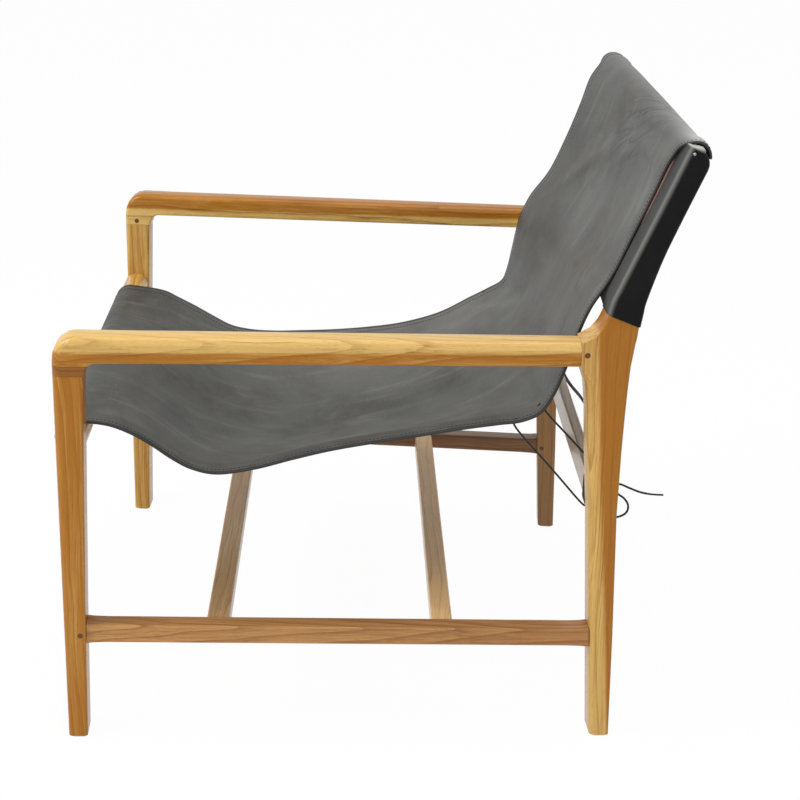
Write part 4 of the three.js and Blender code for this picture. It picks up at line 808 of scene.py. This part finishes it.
def sling():
    """The hide: both faces, and a rounded cut edge between them."""
    points = sling_grid()
    across, along, widths = hide_places(points)
    normals = face_normals(points)
    fade = np.clip((widths[:, None] / 2 - np.abs(across)) / CREASE_FADE, 0, 1)
    points = points + normals * (crease_heights(across, along) * fade)[:, :, None]
    normals = face_normals(points)
    under = points - normals * SLING_THICKNESS
    rows, columns = points.shape[:2]
    verts = [*points.reshape(-1, 3), *under.reshape(-1, 3)]
    flat = [*np.stack([across, along], 2).reshape(-1, 2)] * 2
    inset = np.where(across > 0, STITCH_INSETS["left"], STITCH_INSETS["right"])
    from_side = (widths[:, None] / 2 - np.abs(across)) / inset
    from_end = np.minimum(along, along.max() - along) / STITCH_INSETS["left"]
    rim_share = [*np.minimum(from_side, from_end).reshape(-1)] * 2
    faces, slots = [], []
    below = rows * columns

    def place(r, c):
        return r * columns + c

    for r in range(rows - 1):
        for c in range(columns - 1):
            corners = (place(r, c), place(r, c + 1), place(r + 1, c + 1), place(r + 1, c))
            faces += [corners, tuple(k + below for k in reversed(corners))]
            slots += [0, 1]
    rim = [(0, c) for c in range(columns - 1)] + [(r, columns - 1) for r in range(rows - 1)]
    rim += [(rows - 1, c) for c in range(columns - 1, 0, -1)] + [(r, 0) for r in range(rows - 1, 0, -1)]
    inboard = {(r, c): (min(max(r, 1), rows - 2), min(max(c, 1), columns - 2)) for r, c in rim}
    loops = [[place(r, c) for r, c in rim]]
    for step in range(1, RIM_STEPS):
        turn = math.pi * step / RIM_STEPS
        loop = []
        for r, c in rim:
            off = points[r, c] - points[inboard[r, c]]
            off /= np.linalg.norm(off)
            sunk = SLING_THICKNESS * (1 - math.cos(turn)) / 2
            verts.append(points[r, c] - normals[r, c] * sunk + off * math.sin(turn) * RIM_BULGE)
            flat.append(flat[place(r, c)])
            rim_share.append(0.0)
            loop.append(len(verts) - 1)
        loops.append(loop)
    loops.append([place(r, c) + below for r, c in rim])
    for upper, lower in zip(loops, loops[1:]):
        for k in range(len(rim)):
            after = (k + 1) % len(rim)
            faces.append((upper[k], lower[k], lower[after], upper[after]))
            slots.append(2)
    piece = mesh_piece("sling", verts, faces, slots, (sling_face, sling_under, sling_edge))
    # These marks paint light: a highlight along the crest fold, brighter on the near side, sheen on the
    # seat's far side and light over the back
    bend = np.array(flat)
    near = np.clip((bend[:, 0] + 0.15) / 0.4, 0, 1)
    pale = np.exp(-((bend[:, 1] - FOLD_HIGHLIGHT_PLACE) / FOLD_HIGHLIGHT_REACH) ** 2) * (0.25 + 0.75 * near ** 2)
    sat_on = np.clip((SEAT_END - bend[:, 1]) / 0.1, 0, 1)
    behind = np.clip((bend[:, 1] - 0.12) / 0.3, 0, 1)
    pale += sat_on * behind * SEAT_PAINTED_SHEEN * np.clip(-bend[:, 0] / 0.15, 0, 1) + (1 - sat_on) * BACK_PAINTED_LIGHT
    for label, values in (("wear_and_painted_light", pale), ("rim", rim_share)):
        mark(piece, label, values)
    layer = piece.data.uv_layers.new(name="hide")
    corner_places = np.array(flat)[[loop.vertex_index for loop in piece.data.loops]]
    layer.data.foreach_set("uv", corner_places.reshape(-1))
    outward(piece)
    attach(piece, "root")
    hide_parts("sling_leather")
    cells = np.linalg.norm(np.cross(np.diff(points, axis=0)[:, :-1], np.diff(points, axis=1)[:-1]), axis=2)
    return piece, points, normals, widths, along, float(cells.sum())


sling_piece, sling_points, sling_normals, sling_widths, sling_along, sling_area = sling()


# Stitches along both side edges

STITCH_PITCH = 0.0046
STITCH_ARCH = -6.0


def lift_of(tree):
    return first(tree, "GeometryNodeInputNamedAttribute", {"Name": "lift"}, data_type="FLOAT_VECTOR")


def finish_instances(tree, given, out, inputs):
    """Sets instances on points as real geometry with the given finish."""
    set_out = first(tree, "GeometryNodeInstanceOnPoints", inputs)
    real = first(tree, "GeometryNodeRealizeInstances", {"Geometry": set_out})
    dyed = first(tree, "GeometryNodeSetMaterial", {"Geometry": real, "Material": given["Finish"]})
    tree.links.new(dyed, out["Geometry"])


def stitches_tree():
    """Short thread stitches laid end to end along a path, their middles raised towards its lifts."""
    tree, given, out = geometry_group("Stitches", {
        "Pitch": ("Float", STITCH_PITCH), "Length": ("Float", 0.0034), "Thread radius": ("Float", 0.0005),
        "Finish": ("Material", None),
    })
    path = first(tree, "GeometryNodeMeshToCurve", {"Mesh": given["Geometry"]})
    spaced = first(tree, "GeometryNodeResampleCurve", {
        "Curve": path, "Length": given["Pitch"]}, mode="LENGTH")
    bar = first(tree, "GeometryNodeMeshCylinder", {
        "Vertices": 6, "Side Segments": 4, "Radius": given["Thread radius"], "Depth": given["Length"]})
    place = first(tree, "GeometryNodeInputPosition")
    height = add(tree, "ShaderNodeSeparateXYZ", {"Vector": place}).outputs["Z"]
    share = maths(tree, "DIVIDE", height, given["Length"])
    bent = maths(tree, "MULTIPLY", share, share)
    sunk = maths(tree, "MULTIPLY", maths(tree, "MULTIPLY", bent, given["Thread radius"]), STITCH_ARCH)
    arched = first(tree, "GeometryNodeSetPosition", {
        "Geometry": bar, "Offset": first(tree, "ShaderNodeCombineXYZ", {"X": sunk})})
    turned = first(tree, "FunctionNodeAlignRotationToVector", {
        "Vector": first(tree, "GeometryNodeInputTangent")}, axis="Z")
    faced = first(tree, "FunctionNodeAlignRotationToVector", {
        "Rotation": turned, "Vector": lift_of(tree)}, axis="X", pivot_axis="Z")
    finish_instances(tree, given, out, {"Points": spaced, "Instance": arched, "Rotation": faced})
    return tree


STITCHES = stitches_tree()


def input_id(tree, label):
    """The identifier of a tree's input with this name."""
    return next(item.identifier for item in tree.interface.items_tree
                if item.name == label and item.in_out == "INPUT")


def grown(name, places, edges, lifts, tree, values):
    """What a geometry group grows on places that have lifts, with values for its inputs."""
    mesh = bpy.data.meshes.new(name)
    mesh.from_pydata([tuple(place) for place in places], edges, [])
    towards = mesh.attributes.new("lift", "FLOAT_VECTOR", "POINT")
    towards.data.foreach_set("vector", np.array(lifts, float).reshape(-1))
    piece = placed(name, mesh)
    growth = piece.modifiers.new("growth", "NODES")
    growth.node_group = tree
    for label, value in values.items():
        growth[input_id(tree, label)] = value
    settled(piece)
    piece.data.materials.clear()
    piece.data.materials.append(values["Finish"])
    return piece


def sling_stitches():
    """One seam along each side edge of the hide."""
    pieces = []
    for side, column, step in (("left", 0, 1), ("right", sling_points.shape[1] - 1, -1)):
        line, lifts = [], []
        for r in range(2, sling_points.shape[0] - 2):
            edge, inner = sling_points[r, column], sling_points[r, column + step]
            width = np.linalg.norm(inner - edge)
            share = STITCH_INSETS[side] / width
            near, after = int(share), int(share) + 1
            rest = share - near
            a, b = sling_points[r, column + step * near], sling_points[r, column + step * after]
            line.append(a + (b - a) * rest + sling_normals[r, column + step * near] * 0.1 * MM)
            lifts.append(sling_normals[r, column + step * near])
        edges = [(k, k + 1) for k in range(len(line) - 1)]
        seam = grown(f"{side}_seam", line, edges, lifts, STITCHES, {"Finish": thread})
        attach(seam, "root")
        pieces.append(seam)
    return pieces


seams = sling_stitches()


# Sleeves over the posts

SLEEVE_THICKNESS = 0.0016
SLEEVE_CLEARANCE = 0.0003
SLEEVE_CORNER = 0.006
# Sections of the post under the sleeve, from below, in millimetres: front and rear edge, each as depth
# along the side frame and height.
POST_SECTIONS = [
    ((617, 536.4), (651.4, 522.3)),
    ((620.5, 551.6), (653.8, 537.9)),
    ((626.6, 566.5), (656.7, 554.1)),
    ((645.7, 611.9), (671.2, 601.3)),
    ((664.7, 656.6), (688.9, 646.6)),
    ((681.8, 698.0), (706.0, 688.0)),
    ((686.9, 710.4), (711.1, 700.3)),
    ((689.5, 716.7), (712.5, 707.2)),
    ((691.7, 722.1), (711.1, 714.1)),
    ((693.2, 725.7), (707.2, 720.0)),
]
SECTION_STEPS = 6
FLANGE_SECTIONS = 9
# How much further the crown rises outboard and at the rear, beside the hide's turn
CROWN_RISE = 0.0045
CROWN_ROUND = 3.5 * MM
CROWN_STEPS = 4
# How pale the crown's rings are painted, from below: a painted highlight on the sleeve's top
CROWN_PAINTED_HIGHLIGHT = [0.15, 0.5, 0.9, 1.0, 0.8]
# The strip between sleeve and hide starts higher at the hide, and is level from so far up
FLANGE_RISE = 0.007
FLANGE_LEVEL = 0.06
# The dye is worn off the strip about this height, over so much to each side
RAW_HEIGHT = 0.676
RAW_REACH = 0.046
CORNER_STEPS = 6


def in_side_frame(inset, depth, height, hand):
    """A place in a side frame, where inset runs inboard from its outer face, in the chair."""
    x = FRONT_WIDTH / 2 - inset * math.cos(TAPER) - depth * math.sin(TAPER)
    y = DEPTH_ZERO - inset * math.sin(TAPER) + depth * math.cos(TAPER)
    return Vector((hand * x, y, height))


def section_ring(near, far, growth, corner, hand):
    """A rounded rectangle round a section of the post, grown outwards."""
    run = (far - near).normalized()
    near, far = near - run * growth, far + run * growth
    length, low, high = (far - near).length, -growth, BOARD + growth
    radius = min(corner, length / 2, (high - low) / 2)
    ring = []
    for along, inset, first in (
        (radius, low + radius, 1.5), (radius, high - radius, 1.0),
        (length - radius, high - radius, 0.5), (length - radius, low + radius, 0.0),
    ):
        for step in range(CORNER_STEPS + 1):
            turn = math.pi * (first - step / CORNER_STEPS / 2)
            place = near + run * (along + radius * math.cos(turn))
            ring.append(in_side_frame(inset + radius * math.sin(turn), place.x, place.y, hand))
    return ring


def post_edge(side, sections=POST_SECTIONS):
    """The front (0) or rear (1) edge of the post, as depth and height."""
    points = [(section[side][0] * MM, section[side][1] * MM, 0) for section in sections]
    return [place.to_2d() for place in curve_through(points, SECTION_STEPS)]


def sleeve(hand, name, node):
    """A leather pocket over a post, open below and soft at its edges."""
    growth = SLEEVE_CLEARANCE + SLEEVE_THICKNESS
    pairs = list(zip(post_edge(0), post_edge(1)))
    rings = [section_ring(a, b, growth, SLEEVE_CORNER, hand) for a, b in pairs]
    lean = Vector((math.sin(CREST_LEAN), math.cos(CREST_LEAN)))
    near, far = pairs[-1]
    for step in range(1, CROWN_STEPS + 1):
        share = step / CROWN_STEPS
        shrunk = growth - CROWN_ROUND * (1 - math.cos(math.pi / 2 * share))
        lift = lean * (growth * math.sin(math.pi / 2 * share))
        ring = section_ring(near + lift, far + lift, shrunk, SLEEVE_CORNER, hand)
        outs, backs = [hand * place.x for place in ring], [place.y for place in ring]
        for place, out, rear in zip(ring, outs, backs):
            out = max(0.0, 1 - 2.5 * (max(outs) - out) / (max(outs) - min(outs)))
            place.z += CROWN_RISE * out * (rear - min(backs)) / (max(backs) - min(backs)) * share
        rings.append(ring)
    verts, faces = lofted(rings)
    faces = [face for face in faces if set(face) != set(range(len(rings[0])))]
    piece = mesh_piece(name, verts, faces, materials=(sleeve_face,))
    outward(piece)
    count = len(rings[0])
    # A painted highlight: the front corner and the crown are painted pale where the key light catches them
    front = [0.34 * max(0.0, 1 - abs(k / CORNER_STEPS - 0.6) / 0.55) for k in range(count)]
    crown = [0.0] * (len(rings) - len(CROWN_PAINTED_HIGHLIGHT)) + CROWN_PAINTED_HIGHLIGHT
    mark(piece, "wear_and_painted_light", [max(front[k % count], crown[k // count]) for k in range(len(verts))])
    wall = piece.modifiers.new("wall", "SOLIDIFY")
    wall.thickness = SLEEVE_THICKNESS
    wall.offset = -1
    settled(piece, smooth=True)
    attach(piece, "root")
    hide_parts(node)


for hand, word in HANDS:
    sleeve(hand, f"sleeve_{word}", f"post_sleeve_{word}")


def flange(hand, name):
    """The raw strip that joins the hide's edge to the sleeve's front."""
    edge = sling_points[:, 0 if hand > 0 else -1]
    under = edge - sling_normals[:, 0 if hand > 0 else -1] * SLING_THICKNESS
    rising = slice(len(edge) // 2, int(edge[:, 2].argmax()))
    fronts = post_edge(0, POST_SECTIONS[:FLANGE_SECTIONS])
    rings = []
    for place in fronts:
        level = place.y + FLANGE_RISE * max(0.0, 1 - (place.y - fronts[0].y) / FLANGE_LEVEL)
        x, y, z = (float(np.interp(level, under[rising, 2], under[rising, k])) for k in range(3))
        inner = Vector((x - hand * 0.002, y, z))
        outer = in_side_frame(BOARD - 0.002, place.x - SLEEVE_CLEARANCE, place.y, hand)
        step = Vector((0, SLEEVE_THICKNESS, 0))
        rings.append([inner, outer, outer + step, inner + step])
    verts, faces = lofted(rings)
    piece = outward(mesh_piece(name, verts, faces, materials=(strip_face,), smooth=False))
    raw = [clipped(3 - 3 * abs(vert[2] - RAW_HEIGHT) / RAW_REACH) for vert in verts]
    mark(piece, "wear_and_painted_light", raw)
    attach(piece, "root")


for hand, word in HANDS:
    flange(hand, f"sleeve_flange_{word}")


# Lacing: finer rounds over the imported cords

def finer_cord(node, name, sides):
    """A smooth copy of a packed cord, grown so that its rounds keep the cord's thickness."""
    copy = placed(name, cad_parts[node].data.copy())
    work = bmesh.new()
    work.from_mesh(copy.data)
    bmesh.ops.remove_doubles(work, verts=work.verts, dist=0.02 * MM)
    bmesh.ops.recalc_face_normals(work, faces=work.faces)
    bmesh.ops.join_triangles(
        work, faces=work.faces, angle_face_threshold=math.radians(25), angle_shape_threshold=math.pi)
    growth = CORD / 2 * (6 / (4 + 2 * math.cos(2 * math.pi / sides)) - 1)
    for vert in work.verts:
        vert.co += vert.normal * growth
    work.to_mesh(copy.data)
    work.free()
    copy.data.materials.clear()
    copy.data.materials.append(cord_face)
    rounds = copy.modifiers.new("rounds", "SUBSURF")
    rounds.levels = rounds.render_levels = 2
    settled(copy, smooth=True)
    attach(copy, "root")
    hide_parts(node)


for hand in ("left", "right"):
    finer_cord(f"lacing_cord_{hand}", f"lacing_{hand}", 8)
    finer_cord(f"lacing_wrap_{hand}", f"winding_{hand}", 6)


# Tacks and studs

def domes_tree():
    """A low domed nail head on each point, turned towards the point's lift."""
    tree, given, out = geometry_group("Nail heads", {
        "Head radius": ("Float", None), "Head height": ("Float", 0.002), "Finish": ("Material", None)})
    ball = first(tree, "GeometryNodeMeshUVSphere", {"Segments": 20, "Rings": 12, "Radius": 1.0})
    place = add(tree, "ShaderNodeSeparateXYZ", {"Vector": first(tree, "GeometryNodeInputPosition")}).outputs
    squat = first(tree, "ShaderNodeCombineXYZ", {
        "X": place["X"], "Y": place["Y"], "Z": maths(tree, "MAXIMUM", place["Z"])})
    half = first(tree, "GeometryNodeSetPosition", {"Geometry": ball, "Position": squat})
    smooth = first(tree, "GeometryNodeSetShadeSmooth", {"Geometry": half})
    size = first(tree, "ShaderNodeCombineXYZ", {
        "X": given["Head radius"], "Y": given["Head radius"], "Z": given["Head height"]})
    turned = first(tree, "FunctionNodeAlignRotationToVector", {"Vector": lift_of(tree)}, axis="Z")
    points = first(tree, "GeometryNodeMeshToPoints", {"Mesh": given["Geometry"]})
    finish_instances(tree, given, out, {
        "Points": points, "Instance": smooth, "Rotation": turned, "Scale": size})
    return tree


NAIL_HEADS = domes_tree()


TACK_RADIUS = 0.0045
STUD_RADIUS = 0.002
# How deep below its top a packed head still counts as head, and how far below it the new one starts
HEAD_DEPTH = 2.2 * MM
HEAD_SEAT = 2.0 * MM


def nail_heads(name, nodes, lift, radius):
    """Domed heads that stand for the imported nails, each where its node's head is."""
    lift = Vector(lift).normalized()
    places = []
    for node in nodes:
        corners = [v.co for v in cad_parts[node].data.vertices]
        top = max(corner.dot(lift) for corner in corners)
        head = [corner for corner in corners if corner.dot(lift) > top - HEAD_DEPTH]
        middle = sum(head, Vector()) / len(head)
        places.append(middle - lift * (middle.dot(lift) - top + HEAD_SEAT))
    piece = grown(name, places, [], [lift] * len(places), NAIL_HEADS, {
        "Head radius": radius, "Finish": dark_metal})
    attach(piece, "root")
    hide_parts(*nodes)


BACKWARDS = (0, math.cos(CREST_LEAN), -math.sin(CREST_LEAN))
nail_heads("crest_tacks", [f"crest_rail_tack_{n}" for n in range(1, 6)], BACKWARDS, TACK_RADIUS)
nail_heads("front_tacks", [f"front_rail_tack_{n}" for n in range(1, 6)], (0, 0, -1), TACK_RADIUS)
for hand, word in HANDS:
    nail_heads(f"stud_{word}", [f"sleeve_stud_{word}"],
               (hand * math.cos(TAPER), math.sin(TAPER), 0), STUD_RADIUS)


# Studio

def seen_plainly(tree):
    """1 for what the camera or a reflection sees, and 0 for what lights the chair."""
    rays = tree.nodes.new("ShaderNodeLightPath").outputs
    seen = maths(tree, "MAXIMUM", rays["Is Camera Ray"], rays["Is Glossy Ray"])
    return maths(tree, "MAXIMUM", seen, rays["Is Transmission Ray"])


def pale_floor():
    """A wide floor that reads as white from the camera and keeps the chair's shadow."""
    bpy.ops.mesh.primitive_plane_add(size=30)
    floor = bpy.context.object
    floor.name = "studio_floor"
    material, tree, shader = bare_material("studio_floor")
    fed(tree, shader, {
        "Base Color": tint(0.94, 0.94, 0.94), "Roughness": 1.0, "Specular IOR Level": 0.0})
    glow = first(tree, "ShaderNodeEmission", {"Color": tint(1, 1, 1), "Strength": 1.0})
    mixed = first(tree, "ShaderNodeMixShader", {
        0: maths(tree, "MULTIPLY", seen_plainly(tree), 0.97), 1: shader.outputs[0], 2: glow})
    output = next(node for node in tree.nodes if node.type == "OUTPUT_MATERIAL")
    tree.links.new(mixed, output.inputs["Surface"])
    floor.data.materials.append(material)


def studio_world():
    """White all round, at full strength for the camera and reflections, softer as light."""
    world = bpy.data.worlds.new("studio")
    world.use_nodes = True
    tree = world.node_tree
    tree.nodes.clear()
    strength = ranged(tree, seen_plainly(tree), 0.0, 1.0, 0.45, 1.0)
    light = first(tree, "ShaderNodeBackground", {"Color": tint(1, 1, 1), "Strength": strength})
    add(tree, "ShaderNodeOutputWorld", {"Surface": light})
    bpy.context.scene.world = world


def soft_light(name, place, aim, size, watts):
    lamp = bpy.data.lights.new(name, "AREA")
    lamp.shape = "SQUARE"
    lamp.size = size
    lamp.energy = watts
    light = placed(name, lamp)
    light.location = place
    light.rotation_euler = (Vector(aim) - Vector(place)).to_track_quat("-Z", "Y").to_euler()


pale_floor()
studio_world()
soft_light("key", (1.0, -2.4, 2.4), (0, 0, 0.4), 1.6, 62)
soft_light("overhead", (0.2, 0.2, 3.0), (0, 0, 0.4), 2.0, 36)
soft_light("side_fill", (3.2, 0.6, 1.4), (0, 0, 0.4), 2.0, 20)
bpy.context.scene.view_settings.view_transform = "Standard"
